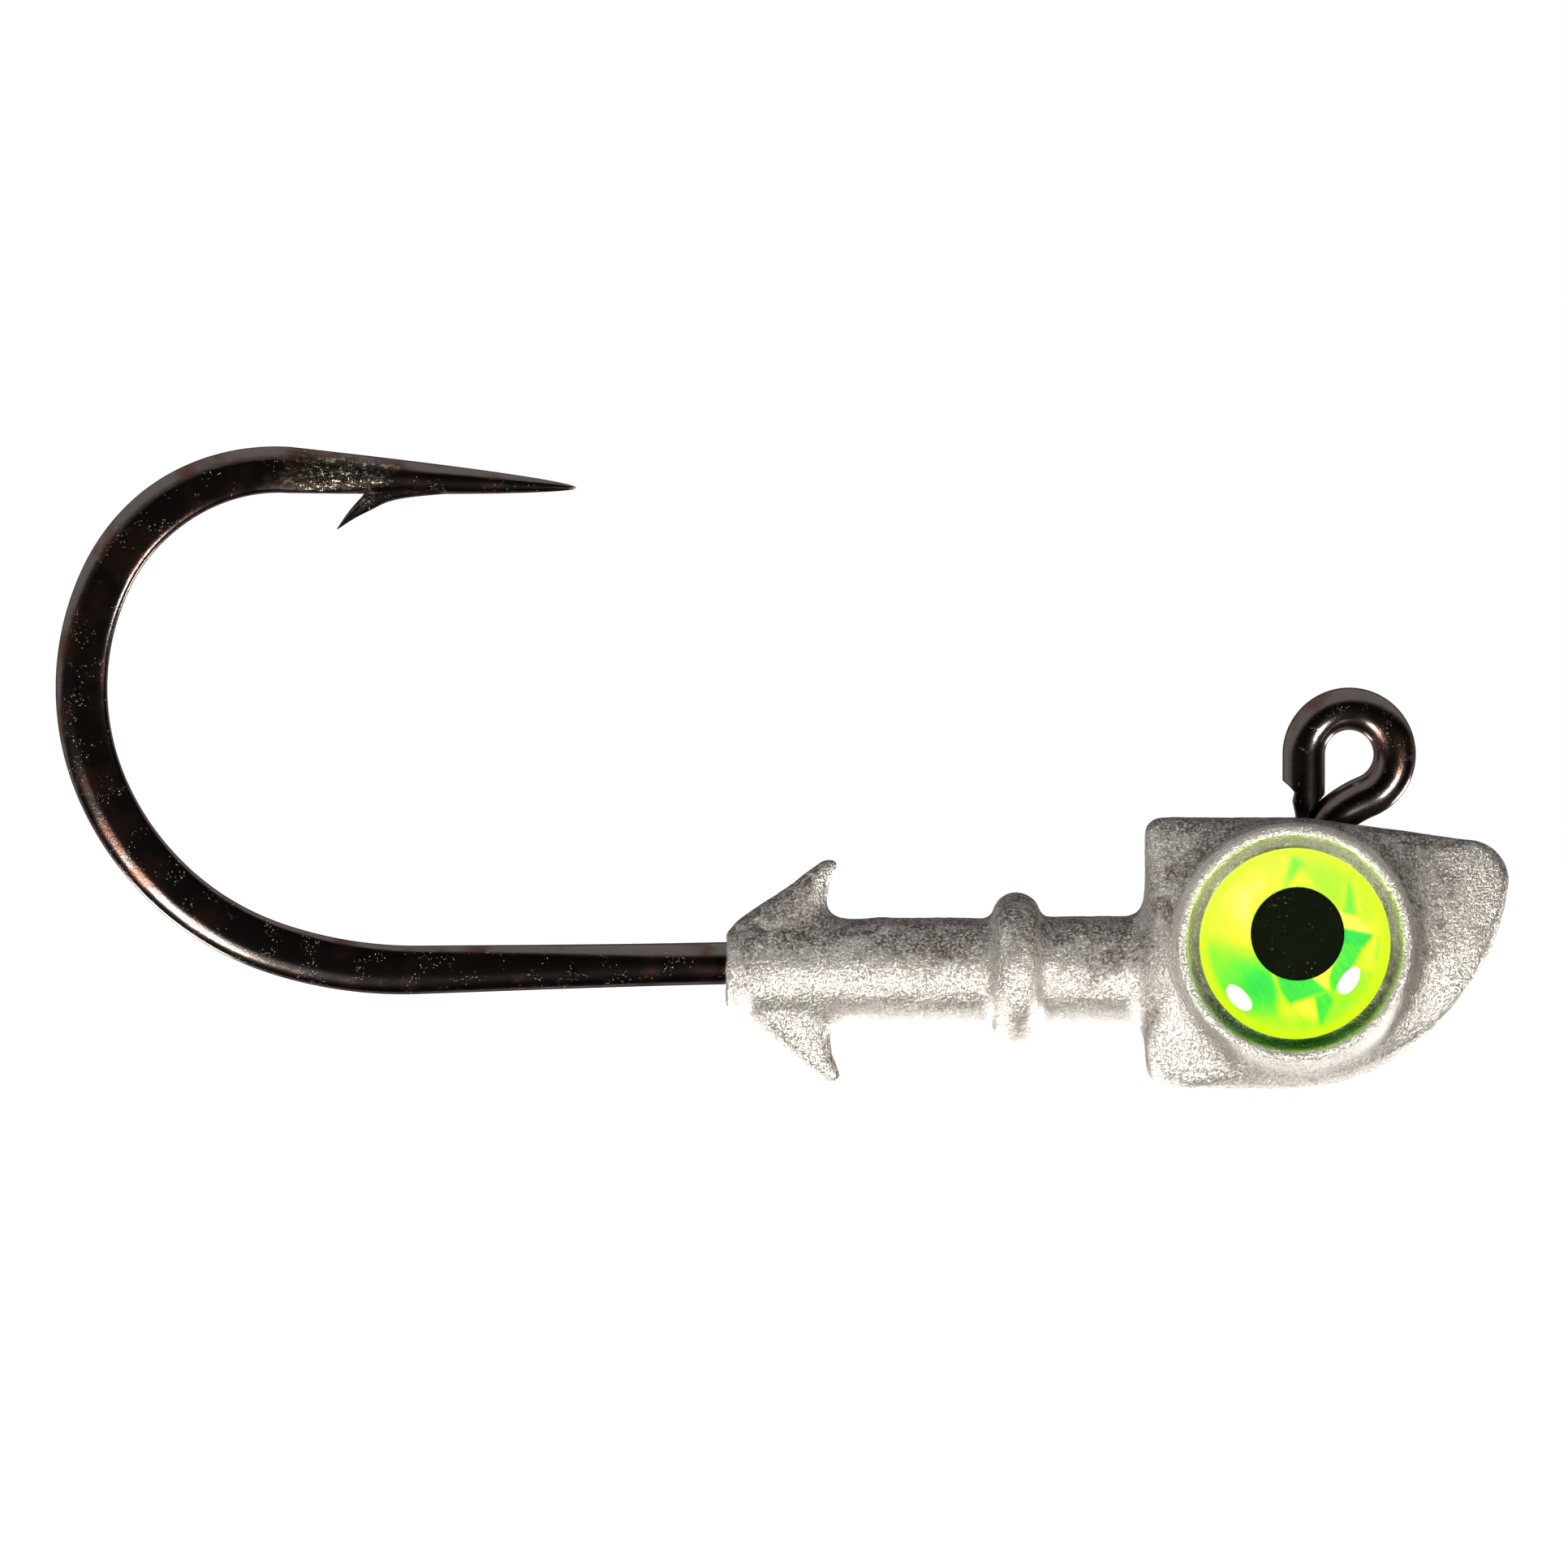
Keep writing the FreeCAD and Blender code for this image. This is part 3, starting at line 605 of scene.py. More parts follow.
# painted highlight: golden glints mixed into the plate colour
plate = f.mix(painted_glint, plate, srgb("#efe4c8"))
plate = f.mix(speck, plate, srgb("#f4efe6"))
relief = f.bump(pebble * (0.3 + patches * 0.7 + raw), 0.008)
relief = f.bump(scuffs, 0.005, relief)
relief = f.bump(torn * raw, 0.035, relief)
relief = f.bump(dust, 0.010, relief)
f.skin(Base_Color=plate, Metallic=1.0 - speck * 0.6,
       Roughness=0.19 + patches * 0.07 + raw * 0.05 + speck * 0.3, Normal=relief)
hook.data.materials.append(black_nickel)
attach(hook, "root")
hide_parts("hook")
print(node_count(black_nickel))

# %% [markdown]
# The head, its collar, bead, keeper spikes and eye bosses leave the mould as one gravity casting.
# Every inner corner is soft and the skin is sandy, with a parting line where the two mould halves
# met. Fillets on the exact CAD solid would be fragile, so a merged copy is remeshed at a tenth of a
# millimetre and smoothed a little. Its inner corners are then relaxed into fillets, and its points are
# pushed along their normals by noise and by the parting line.

# %% Where the casting's features are
COLLAR_Z = -7.885
SPIKE_BACK_X = COLLAR_TIP_X + 4.1
foil_low, foil_high = node_box("right_iris_foil")
EYE_X, EYE_Z = (foil_low[0] + foil_high[0]) / 2, (foil_low[2] + foil_high[2]) / 2
EYE_R = (foil_high[0] - foil_low[0]) / 2
HEAD_BACK_X = EYE_X - 5.43
HEAD_BOTTOM_Z = node_box("head_casting")[0][2]
print(f"eye at {EYE_X:.2f}, {EYE_Z:.2f}, radius {EYE_R:.2f}; head's back at {HEAD_BACK_X:.2f} mm")

# %% Remesh a merged copy
VOXEL = 0.104             # mm, which keeps the piece under 200,000 triangles
SMOOTHING = 3
WELD_WITHIN = 0.001

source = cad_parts["head_casting"].data
casting_mesh = source.copy()
casting_mesh.materials.clear()
casting = bpy.data.objects.new("cast_head", casting_mesh)
scene.collection.objects.link(casting)
casting_mesh.transform(Matrix.Scale(1 / MM, 4))
weld = casting.modifiers.new("weld", "WELD")
weld.merge_threshold = WELD_WITHIN
remesh = casting.modifiers.new("remesh", "REMESH")
remesh.mode, remesh.voxel_size = "VOXEL", VOXEL * 1
soften = casting.modifiers.new("soften", "SMOOTH")
soften.factor, soften.iterations = 0.5, SMOOTHING
freeze(casting)
places = vertices_of(casting.data)
print(f"casting: {len(places)} points")

# %% Relax the inner corners
FILLET_ROUNDS, FILLET_PULL = 100, 0.6

ends = np.empty(len(casting.data.edges) * 2, np.int32)
casting.data.edges.foreach_get("vertices", ends)
edge_a, edge_b = ends.reshape(-1, 2).T
neighbours = np.bincount(np.concatenate([edge_a, edge_b]), minlength=len(places))


def relax(places, weight, rounds):
    """Moves each point by its weight towards the mean of its neighbours, again and again."""
    for _ in range(rounds):
        total = np.stack([np.bincount(edge_a, places[edge_b, i], len(places))
                          + np.bincount(edge_b, places[edge_a, i], len(places)) for i in range(3)], -1)
        places = places + weight[:, None] * (total / neighbours[:, None] - places)
    return places


from_eye = np.hypot(places[:, 0] - EYE_X, places[:, 2] - EYE_Z)
from_collar = np.hypot(places[:, 1], places[:, 2] - COLLAR_Z)
from_back = np.abs(places[:, 0] - HEAD_BACK_X)
boss_foot = (fade(from_eye, 4.25, 4.55) * fade(from_eye, 6.4, 5.6)
             * fade(np.abs(places[:, 1]), 1.2, 1.7))
spike_root = (fade(from_collar, 1.4, 1.6) * fade(from_collar, 2.8, 2.3)
              * fade(np.abs(places[:, 0] - SPIKE_BACK_X), 1.4, 0.8))
neck = fade(from_back, 0.8, 0.3) * fade(from_collar, 3.1, 2.6) * fade(from_collar, 1.4, 1.6)
heel = fade(np.hypot(from_back, places[:, 2] - HEAD_BOTTOM_Z), 1.6, 0.6)
inner_corner = np.maximum.reduce([boss_foot, spike_root, neck, heel])
places = relax(places, FILLET_PULL * inner_corner, FILLET_ROUNDS)
casting.data.vertices.foreach_set("co", places.astype(np.float32).ravel())
casting.data.update()
print(f"inner corners: {(inner_corner > 0.5).sum()} points")

# %% Sandy skin and parting line
LUMPS, LUMP_CELL = 0.020, 0.9          # mm, as the rest
GRIT, GRIT_CELL = 0.008, 0.24
PARTING_H, PARTING_W, PARTING_CELL = 0.045, 0.10, 1.6
TIP_SWELL = 0.07          # a spike's tip fills out where the metal met the end of its pocket

normals = np.empty(len(places) * 3, np.float32)
casting.data.vertex_normals.foreach_get("vector", normals)
normals = normals.reshape(-1, 3)
at_spikes = fade(places[:, 0] - SPIKE_BACK_X, 0.8, 0.4)
tips = at_spikes * fade(np.abs(places[:, 2] - COLLAR_Z), 3.1, 3.6)
parting = np.exp(-(places[:, 1] / PARTING_W) ** 2)
broken = smooth_step(0.15, 1, 0.5 + 0.5 * lattice_noise(places, PARTING_CELL, 3))
push = (LUMPS * lattice_noise(places, LUMP_CELL, 1) + GRIT * lattice_noise(places, GRIT_CELL, 2)
        + PARTING_H * parting * broken + TIP_SWELL * tips)
places = (places + normals * push[:, None]) * MM
casting.data.vertices.foreach_set("co", places.astype(np.float32).ravel())
casting.data.update()
print(f"casting: {len(casting.data.polygons)} faces, {outward(casting):.0f} mm3")

# %% [markdown]
# Bare lead alloy is silver where it was touched last and dull grey where it has stood: oxide gathers
# in mottled clouds. The upper faces are darker still by painted shade, which the same mask carries.
# The sand-like skin glitters: the fine grain goes into the bump and the roughness, and bright grains
# are also painted into the colour as painted sparkle. Slanting scratches from handling are bright.
# A little green light from the fluorescent foil is painted on to the lower wall of its socket, and a
# lime thread of painted light is painted just outside the dome. Distance from the eye's axis says
# where each of these lies.

# %% Cast lead
SCRATCH_TILT = 0.45       # radians
RIM_INNER, RIM_OUTER = (3.80, 4.00), (4.75, 4.45)          # mm from the eye's axis, as the next two
WALL = (4.05, 3.75)
PAINTED_THREAD_INNER, PAINTED_THREAD_OUTER = (3.84, 3.91), (4.02, 3.95)
RIM_Y, WALL_Y = (2.9 * MM, 3.2 * MM), (2.5 * MM, 2.75 * MM)
PAINTED_GLOW_REACH = 4 * MM
cast_lead, f = new_finish("cast_lead")
point = f.object_point()
x, y, z = f.axes(point)
normal = f.node("ShaderNodeNewGeometry", output="Normal")
up = f.axes(normal)[2]
grain = f.noise(point, 0.11, 3.0, 0.65)
grit_and_painted_sparkle = f.noise(point, 0.10, 2.0, 0.6).step(0.50, 0.62)
streaks = f.noise(f.stretched(point, (1.0, 1.0, 0.18)), 0.11, 2.0)
clouds = f.noise(point, 1.3, 4.0, 0.65)
blotch = f.noise(point, 2.8, 3.0, 0.6).step(0.38, 0.62)
fine_clouds = f.noise(point, 0.30, 3.0, 0.6)
drawn = f.noise(f.stretched(point, (0.22, 1.0, 1.0)), 0.14, 3.0, 0.6)
# painted shade: the upward-facing normal raises this mask, so upper faces are darker by painted shade as
# well as by mottled oxide
oxide_and_top_shade = (clouds * 0.50 + fine_clouds * 0.25 + drawn * 0.25 + up * 0.32 + blotch * 0.14).step(0.52, 0.76)
patina = f.noise(point, 0.42, 5.0, 0.7).step(0.44, 0.60)
slanting = f.stretched(f.turned(point, SCRATCH_TILT), (0.10, 1.0, 1.0))
scratch = f.noise(slanting, 0.10, 1.0).step(0.67, 0.72) * f.noise(point, 1.1).step(0.50, 0.60)
pits = f.noise(point, 0.13, 3.0, 0.65).step(0.48, 0.36)
stain = f.noise(point, 0.55, 3.0, 0.6).step(0.58, 0.74)
eye_away = (((x - EYE_X * MM) ** 2.0 + (z - EYE_Z * MM) ** 2.0) ** 0.5) / MM
rim = eye_away.step(*RIM_INNER) * eye_away.step(*RIM_OUTER) * y.size().step(*RIM_Y)
wall = eye_away.step(*WALL) * y.size().step(*WALL_Y)
# painted light: green light from the foil is painted on the lower part of the socket wall
painted_glow_low_side = ((EYE_Z * MM - z) / PAINTED_GLOW_REACH).step(0.35, 0.98)
painted_green_glow = wall * painted_glow_low_side * f.noise(point, 0.25).step(0.25, 0.50) * 0.85
# painted light: a faint lime thread of the foil's light painted round the socket's mouth
painted_lime_thread = eye_away.step(*PAINTED_THREAD_INNER) * eye_away.step(*PAINTED_THREAD_OUTER)
painted_lime_thread = painted_lime_thread * f.noise(point, 1.0).step(0.40, 0.60) * 0.55
dull = f.mix(patina, srgb("#6b625d"), srgb("#a49d9b"))
# oxide and painted top shade both pull the colour towards dull grey
shade = f.mix(oxide_and_top_shade, srgb("#e6e2dd"), dull)
shade = f.mix(stain * 0.35, shade, srgb("#6f665f"))
shade = f.mix(pits * 0.4, shade, srgb("#6b625a"))
# painted highlight: bright grains mixed into the colour as painted sparkle, weaker where oxide and painted
# top shade lie
shade = f.mix(grit_and_painted_sparkle * (0.95 - oxide_and_top_shade * 0.40), shade, srgb("#fdf9f2"))
shade = f.mix(scratch * 0.8, shade, srgb("#fffaf0"))
shade = f.mix(rim * 0.65, shade, srgb("#f2ede4"))
# painted light: the green glow mixed into the colour
shade = f.mix(painted_green_glow, shade, srgb("#2f9a2c"))
# painted light: the lime thread mixed into the colour
shade = f.mix(painted_lime_thread, shade, srgb("#a9c63a"))
relief = f.bump(streaks, 0.030)
relief = f.bump(grain, 0.050, relief)
relief = f.bump(grit_and_painted_sparkle, 0.050, relief)
relief = f.bump(f.noise(point, 0.34, 2.0), 0.022, relief)
relief = f.bump(scratch, 0.020, relief)
relief = f.bump(drawn, 0.020, relief)
f.skin(Base_Color=shade, Metallic=0.96 - oxide_and_top_shade * 0.2,
       Roughness=0.29 + oxide_and_top_shade * 0.14 + fine_clouds * 0.06, Normal=relief)
casting.data.materials.append(cast_lead)
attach(casting, "root")
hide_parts("head_casting")
print(node_count(cast_lead))

# %% [markdown]
# The iris is printed foil: crushed shards of film that throw back lime in one direction and emerald
# in another. Each shard is a convex polygon drawn on the disc, in millimetres from its
# middle. One number, the tone, is worked out at every point of a fine disc, and the material turns it
# into colour: 0 is emerald, 1 is pale yellow.

# %% Shards of the foil
SHARDS = [   # tone, softness of its edge, corners counter-clockwise as (right, up)
    (0.50, 0.50, [(0.30, 3.20), (0.35, 2.10), (1.75, 1.00), (2.30, 0.90), (2.90, 1.30), (2.00, 2.70)]),
    (0.30, 0.12, [(-0.07, 3.38), (-0.26, 2.63), (-0.35, 2.11), (-0.07, 2.38), (0.32, 2.86)]),
    (0.76, 0.12, [(0.14, 2.71), (-0.09, 2.14), (0.58, 2.11)]),
    (0.62, 0.10, [(1.75, 2.50), (1.58, 1.15), (1.72, 1.12), (1.98, 2.35)]),
    (0.28, 0.10, [(1.99, 2.27), (1.78, 1.12), (2.22, 1.04)]),
    (0.66, 0.10, [(2.12, 2.30), (2.28, 1.02), (2.40, 1.00), (2.45, 2.00)]),
    (0.45, 0.40, [(2.40, -0.89), (1.84, -1.28), (1.37, -1.80), (1.00, -2.90), (2.00, -2.60), (3.00, -1.20)]),
    (0.74, 0.10, [(2.89, 0.32), (2.66, -0.20), (2.40, -0.89), (2.71, -0.92), (3.22, -0.71), (3.25, 0.22)]),
    (0.45, 0.08, [(3.00, 0.25), (2.96, -0.60), (3.08, -0.60), (3.12, 0.25)]),
    (0.16, 0.07, [(1.80, 0.05), (1.22, -1.22), (1.37, -1.79), (1.84, -1.28), (2.35, -0.35), (2.50, -0.04)]),
    (0.02, 0.05, [(1.70, 0.58), (1.70, 0.00), (2.50, -0.08), (2.87, 0.33)]),
    (0.88, 0.04, [(1.60, 1.20), (1.70, 0.60), (2.90, 0.35), (2.27, 0.96)]),
    (0.12, 0.10, [(-0.68, -1.12), (-0.61, -1.66), (-0.17, -2.20), (1.17, -1.74), (0.68, -1.20)]),
    (0.82, 0.04, [(0.60, -1.25), (1.19, -1.68), (1.31, -0.90)]),
    (0.80, 0.10, [(-0.17, -2.25), (0.14, -2.46), (0.62, -3.20), (0.80, -2.56), (0.65, -1.94)]),
    (0.18, 0.05, [(1.20, -1.76), (0.74, -1.94), (0.94, -3.07), (1.42, -2.05)]),
    (0.62, 0.05, [(-0.92, -1.00), (-0.44, -2.20), (-0.32, -2.24), (-0.80, -1.00)]),
]
GLOWS = [    # tone added, spread, middle
    (0.22, 0.45, (-1.85, 1.72)), (0.20, 0.36, (-1.92, 1.05)), (0.12, 0.30, (-1.25, 2.15)),
    (0.10, 0.35, (-1.70, 0.45)),
]
SOFTER = 3.0              # the dome and the foil's own gloss blur every edge this much more
LIME, BOTTOM_TONE, GREEN, GREENEST = 0.70, 0.52, 0.38, 0.04


def shard(u, v, corners, softness):
    """1 inside a convex polygon and 0 outside: the least distance to its sides, over the softness."""
    depth = np.full_like(u, np.inf)
    for (x0, z0), (x1, z1) in zip(corners, corners[1:] + corners[:1]):
        side = ((x1 - x0) * (v - z0) - (z1 - z0) * (u - x0)) / math.hypot(x1 - x0, z1 - z0)
        depth = np.minimum(depth, side)
    return smooth_step(0, 1, depth / (softness * SOFTER) + 0.5)


def foil_tone(u, v):
    """The tone at u to the right of the middle and v above it, in millimetres.

    Lime all over, then a green field below a slanting line on the lower left, darkest round its own
    middle, then the lower edge, the shards in order, and last the glows as bell curves.
    """
    tone = np.full_like(u, LIME)
    lower_left = fade(-0.36 * (u + 3.05) + 0.66 - v, 0, 1.1) * fade(u, -0.35, -0.85)
    bell = np.exp(-((u + 1.25) / 1.05) ** 2 - ((v + 1.55) / 0.85) ** 2)
    green = GREEN - (GREEN - GREENEST) * bell
    tone = tone * (1 - lower_left) + green * lower_left
    bottom = fade(v, -2.35, -2.95)
    tone = tone * (1 - bottom) + BOTTOM_TONE * bottom
    for value, softness, corners in SHARDS:
        mask = shard(u, v, corners, softness)
        tone = tone * (1 - mask) + value * mask
    for value, spread, (u0, v0) in GLOWS:
        tone = tone + value * np.exp(-((u - u0) ** 2 + (v - v0) ** 2) / spread**2)
    return np.clip(tone, 0, 1)


print("tone at the middle and at the lower left:", foil_tone(np.array([0.0, -1.25]), np.array([0.0, -1.55])))

# %% [markdown]
# A clear dome of resin lies over the foil, and acts as a lens: seen through it the print looks about
# a tenth of a millimetre larger all round. The shards above are set where the eye sees them, so the
# disc looks its tone up at that larger radius.

# %% The foil disc
DISC_RINGS, DISC_SPOKES, BACK_RINGS = 130, 300, 8
LENS_SHIFT = 0.095        # mm, reached a millimetre from the middle
FOIL_MARGIN = 0.02
MIDDLE_R = 0.02           # the innermost ring, which a fan closes


def make_foil(side, turned):
    """A thin disc: its radius runs from 0 to the rim, over the edge and back, and its angle goes round.

    side is the sign of its Y, and turned is how far the print is turned, in degrees.
    """
    name = "left" if side > 0 else "right"
    low, high = node_box(f"{name}_iris_foil")
    near, far = (low[1], high[1]) if side > 0 else (high[1], low[1])
    radius = EYE_R - FOIL_MARGIN
    r = np.concatenate([np.linspace(MIDDLE_R, radius, DISC_RINGS),
                        np.linspace(radius, MIDDLE_R, BACK_RINGS)])
    depth = np.concatenate([np.full(DISC_RINGS, far), np.full(BACK_RINGS, near)])
    angle = np.linspace(0, 2 * np.pi, DISC_SPOKES, endpoint=False)
    u, v = np.outer(r, np.cos(angle)), np.outer(r, np.sin(angle))
    grid = np.stack([EYE_X + u, np.repeat(depth[:, None], DISC_SPOKES, 1), EYE_Z + v], -1)
    piece = tube(f"{name}_iris", grid)
    outward(piece)
    seen = r[:, None] + LENS_SHIFT * np.minimum(r, 1)[:, None]
    seen_angle = angle[None, :] + math.radians(turned)
    tone = foil_tone(seen * np.cos(seen_angle) * -side, seen * np.sin(seen_angle))
    paint(piece, "tone", np.append(tone.ravel(), [tone[0].mean()] * 2))
    return piece


# %% [markdown]
# A colour ramp turns the tone into ink. Fine strokes and a slow swirl are added to the tone first, so
# that they bend the colour and the bump alike. A lime band round the rim is painted light, a painted
# glow, and the whole foil has a faint painted glow too: an emission of its own colour that stands in
# for the brightness of fluorescent ink.

# %% Foil finish
STROKE_TILT = 0.6         # radians
EDGE_FROM, EDGE_FULL = EYE_R - 0.55, EYE_R - 0.25          # mm from the eye's axis

iris_foil, f = new_finish("iris_foil")
point = f.object_point()
x, _, z = f.axes(point)
tone = f.attribute("tone")
eye_away = (((x - EYE_X * MM) ** 2.0 + (z - EYE_Z * MM) ** 2.0) ** 0.5) / MM
strokes = f.noise(f.stretched(f.turned(point, STROKE_TILT), (1.0, 1.0, 0.12)), 0.07, 2.0)
swirl = f.noise(point, 0.8, 2.0)
tone = tone + (strokes - 0.5) * 0.30 + (swirl - 0.5) * 0.14
stops = [(0.0, srgb("#1db540")), (0.16, srgb("#3cc335")), (0.34, srgb("#68cb26")),
         (0.52, srgb("#96d418")), (0.72, srgb("#c2dc1e")), (0.90, srgb("#dfe04e")), (1.0, srgb("#e6de86"))]
colour = f.node("ShaderNodeValToRGB", {"stops": stops}, {0: tone})
# painted light: a saturated lime band round the rim of the foil, a painted glow
painted_edge_glow = eye_away.step(EDGE_FROM, EDGE_FULL)
colour = f.mix(painted_edge_glow, colour, srgb("#b2d600"))
facets = f.bump(tone, 0.02)
# painted light: a faint emission of the ink's own colour, a painted glow
f.skin(Base_Color=colour, Metallic=0.15, Roughness=0.38, Normal=facets, Emission_Color=colour,
       Emission_Strength=0.08)
print(node_count(iris_foil))

# %% Fit the foils
EYES = {"right": (-1, 0), "left": (1, 140)}     # side along Y, and how far the print is turned
foils = {}
for eye_name, (eye_side, print_turn) in EYES.items():
    foil = make_foil(eye_side, print_turn)
    foil.data.materials.append(iris_foil)
    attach(foil, "root")
    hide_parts(f"{eye_name}_iris_foil")
    foils[eye_name] = foil
print("foil faces:", [len(foil.data.polygons) for foil in foils.values()])

# %% [markdown]
# The dome is resin that was poured on the print and stopped at its edge by surface tension: a cap of
# a large ball, a tight rounded shoulder and a short straight side. A profile turned about the eye's
# axis gives exactly that. Its underside sits a hair inside the foil, because resin wets the print and
# leaves no air between them. It casts no shadow, so the lamps reach the foil through it.

# %% The clear domes
SHOULDER_R = 0.16         # mm, as the rest
DOME_EDGE_H = 0.28        # height of the cap's own edge, before the shoulder rounds it off
DOME_SPOKES, CAP_ROWS, SHOULDER_ROWS = 128, 44, 10
WETTING = 0.03            # how far the underside goes into the foil
CHAMFER_W, CHAMFER_H = 0.03, 0.02
CAP_START = 0.004         # radians from the top, where a fan closes the middle


def dome_profile(edge_h, height):
    """Radius and height of the section, from the middle of the top to the middle of the underside.

    The ball's radius is (edge radius squared + rise squared) over twice the rise. The shoulder is a
    small circle that touches the ball from within and the straight side at its widest.
    """
    rise = height - edge_h
    ball_r = (EYE_R**2 + rise**2) / (2 * rise)
    ball_centre = height - ball_r
    reach = ball_r - SHOULDER_R
    shoulder_x = EYE_R - SHOULDER_R
    shoulder_z = ball_centre + math.sqrt(reach**2 - shoulder_x**2)
    to_shoulder = math.atan2(shoulder_x, shoulder_z - ball_centre)
    cap = np.linspace(CAP_START, to_shoulder, CAP_ROWS)
    curl = np.linspace(to_shoulder, np.pi / 2, SHOULDER_ROWS)[1:]
    r = [ball_r * np.sin(cap), shoulder_x + SHOULDER_R * np.sin(curl),
         [EYE_R, EYE_R - CHAMFER_W, MIDDLE_R]]
    h = [ball_centre + ball_r * np.cos(cap), shoulder_z + SHOULDER_R * np.cos(curl),
         [CHAMFER_H - WETTING, -WETTING, -WETTING]]
    return np.concatenate(r), np.concatenate(h)


clear_resin, f = new_finish("clear_resin")
point = f.object_point()
ripple = f.bump(f.noise(point, 1.6, 1.0), 0.010)
bloom = f.noise(point, 0.5, 2.0)
f.skin(Base_Color=(1, 1, 1, 1), Roughness=0.015 + bloom * 0.02, IOR=1.50, Transmission_Weight=1.0,
       Normal=ripple)

for eye_name, (eye_side, _) in EYES.items():
    low, high = node_box(f"{eye_name}_clear_dome")
    base = low[1] if eye_side > 0 else high[1]
    r, h = dome_profile(DOME_EDGE_H, high[1] - low[1])
    angle = np.linspace(0, 2 * np.pi, DOME_SPOKES, endpoint=False)
    grid = np.stack([EYE_X + np.outer(r, np.cos(angle)),
                     np.repeat((base + eye_side * h)[:, None], DOME_SPOKES, 1),
                     EYE_Z + np.outer(r, np.sin(angle))], -1)
    dome = tube(f"{eye_name}_dome", grid)
    print(f"{eye_name} dome: {outward(dome):.1f} mm3")
    dome.data.materials.append(clear_resin)
    dome.visible_shadow = False
    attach(dome, "root")
    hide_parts(f"{eye_name}_clear_dome")

# %% [markdown]
# The pupils are a spot of black ink with a few pinholes where the foil shines through, and behind
# each eye is a disc of pale foam tape. Both are true in the CAD model already, so they keep their
# meshes and only get a finish.

# %% Ink and foam
pupil_ink, f = new_finish("pupil_ink")
point = f.object_point()
pinholes = f.cells(point, 0.17).step(0.24, 0.08) * f.noise(point, 0.9).step(0.45, 0.65)
ink = f.mix(f.noise(point, 0.5), srgb("#070a06"), srgb("#10150b"))
ink = f.mix(pinholes * 0.40, ink, srgb("#7d8060"))
f.skin(Base_Color=ink, Roughness=0.6 + f.noise(point, 0.2) * 0.15, Specular_IOR_Level=0.0,
       Normal=f.bump(pinholes, 0.01))

foam_pad, f = new_finish("foam_pad")
point = f.object_point()
pores = f.cells(point, 0.12)
# painted shade: the middles of the pores, where the bump sinks, are darker
foam_and_pore_shade = f.mix(pores.step(0.1, 0.5), srgb("#b9b5aa"), srgb("#e9e6dd"))
f.skin(Base_Color=foam_and_pore_shade, Roughness=0.85 + f.noise(point, 0.3) * 0.1, Normal=f.bump(pores, 0.03))

for eye_name in EYES:
    for layer, material in (("pupil_print", pupil_ink), ("adhesive_pad", foam_pad)):
        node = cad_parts[f"{eye_name}_{layer}"]
        node.data.materials.clear()
        node.data.materials.append(material)
print(node_count(clear_resin, pupil_ink, foam_pad))

# %% [markdown]
# Polished black metal looks like what stands round it. Here the room is dark in front, pale above and
# to the left, and dim behind, which draws the pale band along the wire's upper and outer edge and
# leaves its face black. The camera itself sees a white ground. A picture of a real studio could be
# wrapped round the scene, but a few gradients of the direction say the same and can be tuned.

# %% The room
PALE, DIM, DARK = 0.50, 0.18, 0.012    # brightness above, behind and in front

world = bpy.data.worlds.new("room")
world.use_nodes = True
scene.world = world
f = Finish(world.node_tree)
way = f.node("ShaderNodeTexCoord", output="Generated")
x, y, z = f.axes(way)
above_left = x * -0.35 + y * 0.45 + z * 0.75
pale = above_left.step(0.04, 0.34).most(y.step(0.40, 0.60))
behind = y.step(0.55, 0.85)
level = DARK + pale * (PALE - DARK) * (1 - behind * (1 - DIM / PALE))
seen = f.node("ShaderNodeLightPath", output="Is Camera Ray")
level = level.most(seen)
tint = f.mix((level - DARK) / (PALE - DARK), srgb("#b98f86"), srgb("#ffffff"))
background = f.node("ShaderNodeBackground", None, {"Color": tint, "Strength": level})
f.node_output(background, "ShaderNodeOutputWorld")
print(f"the room has {len(world.node_tree.nodes)} nodes")

# %% [markdown]
# Two small softboxes in front and below give the pair of oval lights in the eye. A wide, low one
# stands for the pale table top: it lays the bright band along the collar and makes the sandy lead
# glitter. It would also turn the black wire grey, so it lights the casting alone, by light linking.
# The same lamps stand behind, the small ones weaker, so that the other side can be looked at.

# %% Softboxes
def softbox(name, toward, long_way, size, power, colour, away=0.4, only=None):
    """An oval lamp that looks at the eye from the direction toward, its long side along long_way.

    Its size and its distance are in metres. With only set, it lights that collection alone.
    """
    lamp = bpy.data.lights.new(name, "AREA")
    lamp.shape, lamp.size, lamp.size_y = "ELLIPSE", *size
    lamp.energy, lamp.color = power, colour
    lamp_object = bpy.data.objects.new(name, lamp)
    back = Vector(toward).normalized()
    side = Vector(long_way)
    side = (side - back * side.dot(back)).normalized()
    turn = Matrix((side, back.cross(side), back)).transposed().to_4x4()
    place = Vector((EYE_X * MM, 0, EYE_Z * MM)) + back * away
    lamp_object.matrix_world = Matrix.Translation(place) @ turn
    scene.collection.objects.link(lamp_object)
    if only is not None:
        lamp_object.light_linking.receiver_collection = only


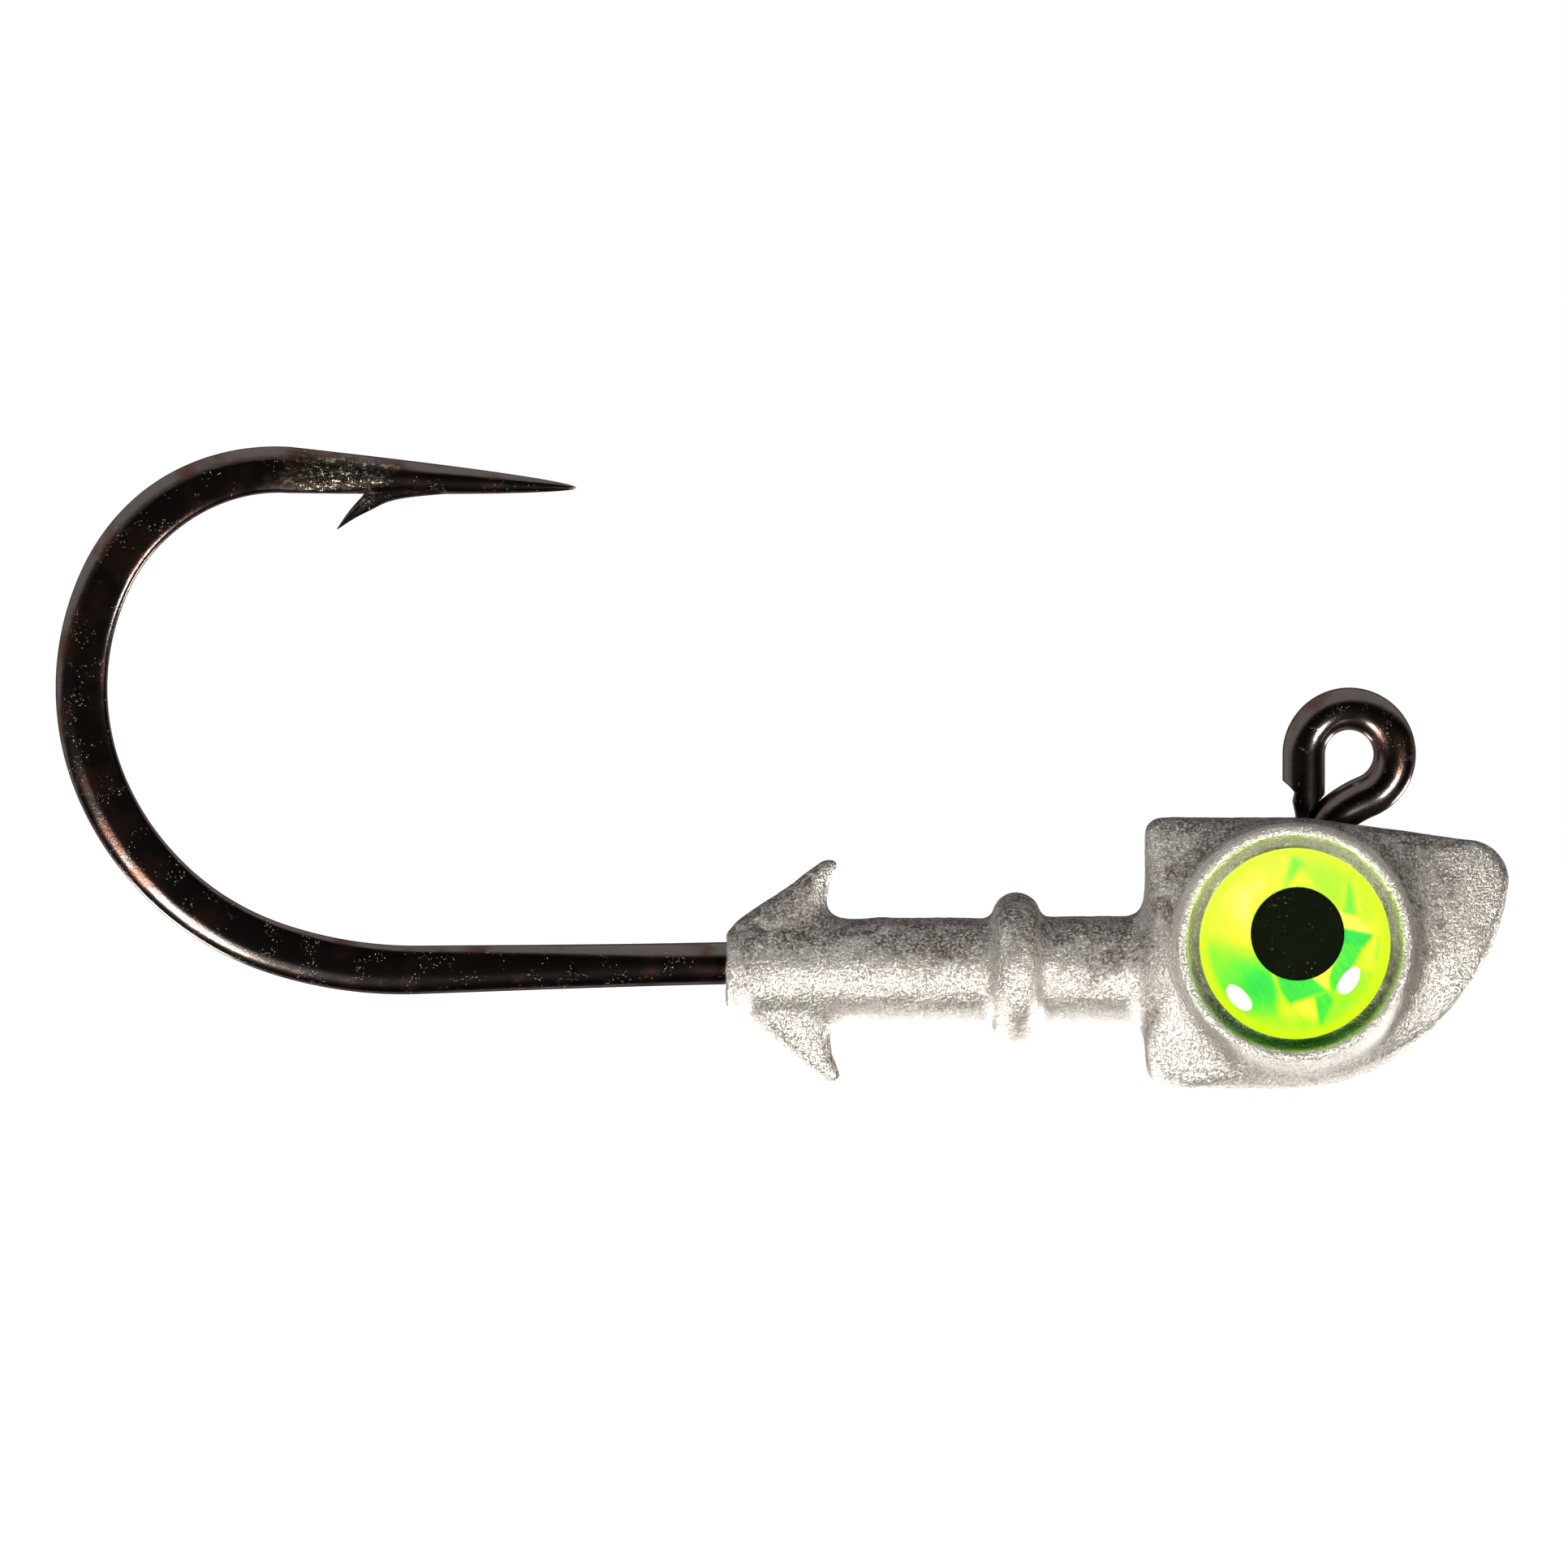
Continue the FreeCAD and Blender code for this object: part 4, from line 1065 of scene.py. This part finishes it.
WARM, SOFT_WHITE = (1.0, 0.96, 0.90), (1.0, 0.975, 0.945)
KEY, KEY_SIZE, BACK_SHARE = 1.15, (0.13, 0.078), 0.45
TABLE, TABLE_SIZE = 0.66, (0.60, 0.30)
bare_metal = bpy.data.collections.new("bare_metal")
bare_metal.objects.link(casting)
for place, mirror, share in (("front", 1, 1.0), ("back", -1, BACK_SHARE)):
    softbox(f"key_left_{place}", (-0.552, -0.625 * mirror, -0.552), (0.707, 0, -0.707), KEY_SIZE,
            KEY * share, WARM)
    softbox(f"key_right_{place}", (0.573, -0.720 * mirror, -0.390), (0.565, 0, 0.825), KEY_SIZE,
            KEY * share, WARM)
    softbox(f"table_{place}", (0, -0.84 * mirror, -0.54), (1, 0, 0), TABLE_SIZE, TABLE, SOFT_WHITE,
            only=bare_metal)
print("lamps:", len(bpy.data.lights))

# %% [markdown]
# The floor is a plain pale sheet a little below the head. It glows slightly, as a light table does,
# so that it stays as pale as the ground behind it, and it lets the lamps under it through. Its
# underside is clear, so that the piece can be looked at from below.

# %% The floor
FLOOR_Z = -13.4           # mm
FLOOR_HALF = 3.0          # metres

floor = add_piece("floor", np.array([(-1, -1, 0), (1, -1, 0), (1, 1, 0), (-1, 1, 0)]) * FLOOR_HALF / MM
                  + np.array([0, 0, FLOOR_Z]), [(0, 1, 2, 3)])
floor_sheet, f = new_finish("floor_sheet")
point = f.object_point()
paper = f.mix(f.noise(point, 2.0), srgb("#f4f3f1"), srgb("#fafafa"))
top = f.node("ShaderNodeBsdfPrincipled", None, {"Base Color": paper, "Roughness": 0.9,
                                                "Emission Color": (1, 1, 1, 1), "Emission Strength": 0.86})
clear = f.node("ShaderNodeBsdfTransparent")
under = f.node("ShaderNodeNewGeometry", output="Backfacing")
f.node_output(f.node("ShaderNodeMixShader", None, {0: under, 1: top, 2: clear}))
floor.data.materials.append(floor_sheet)
floor.visible_shadow = False
floor.visible_glossy = False
floor.visible_diffuse = False
print(f"floor {2 * FLOOR_HALF:.0f} m wide, {-FLOOR_Z} mm below the origin")
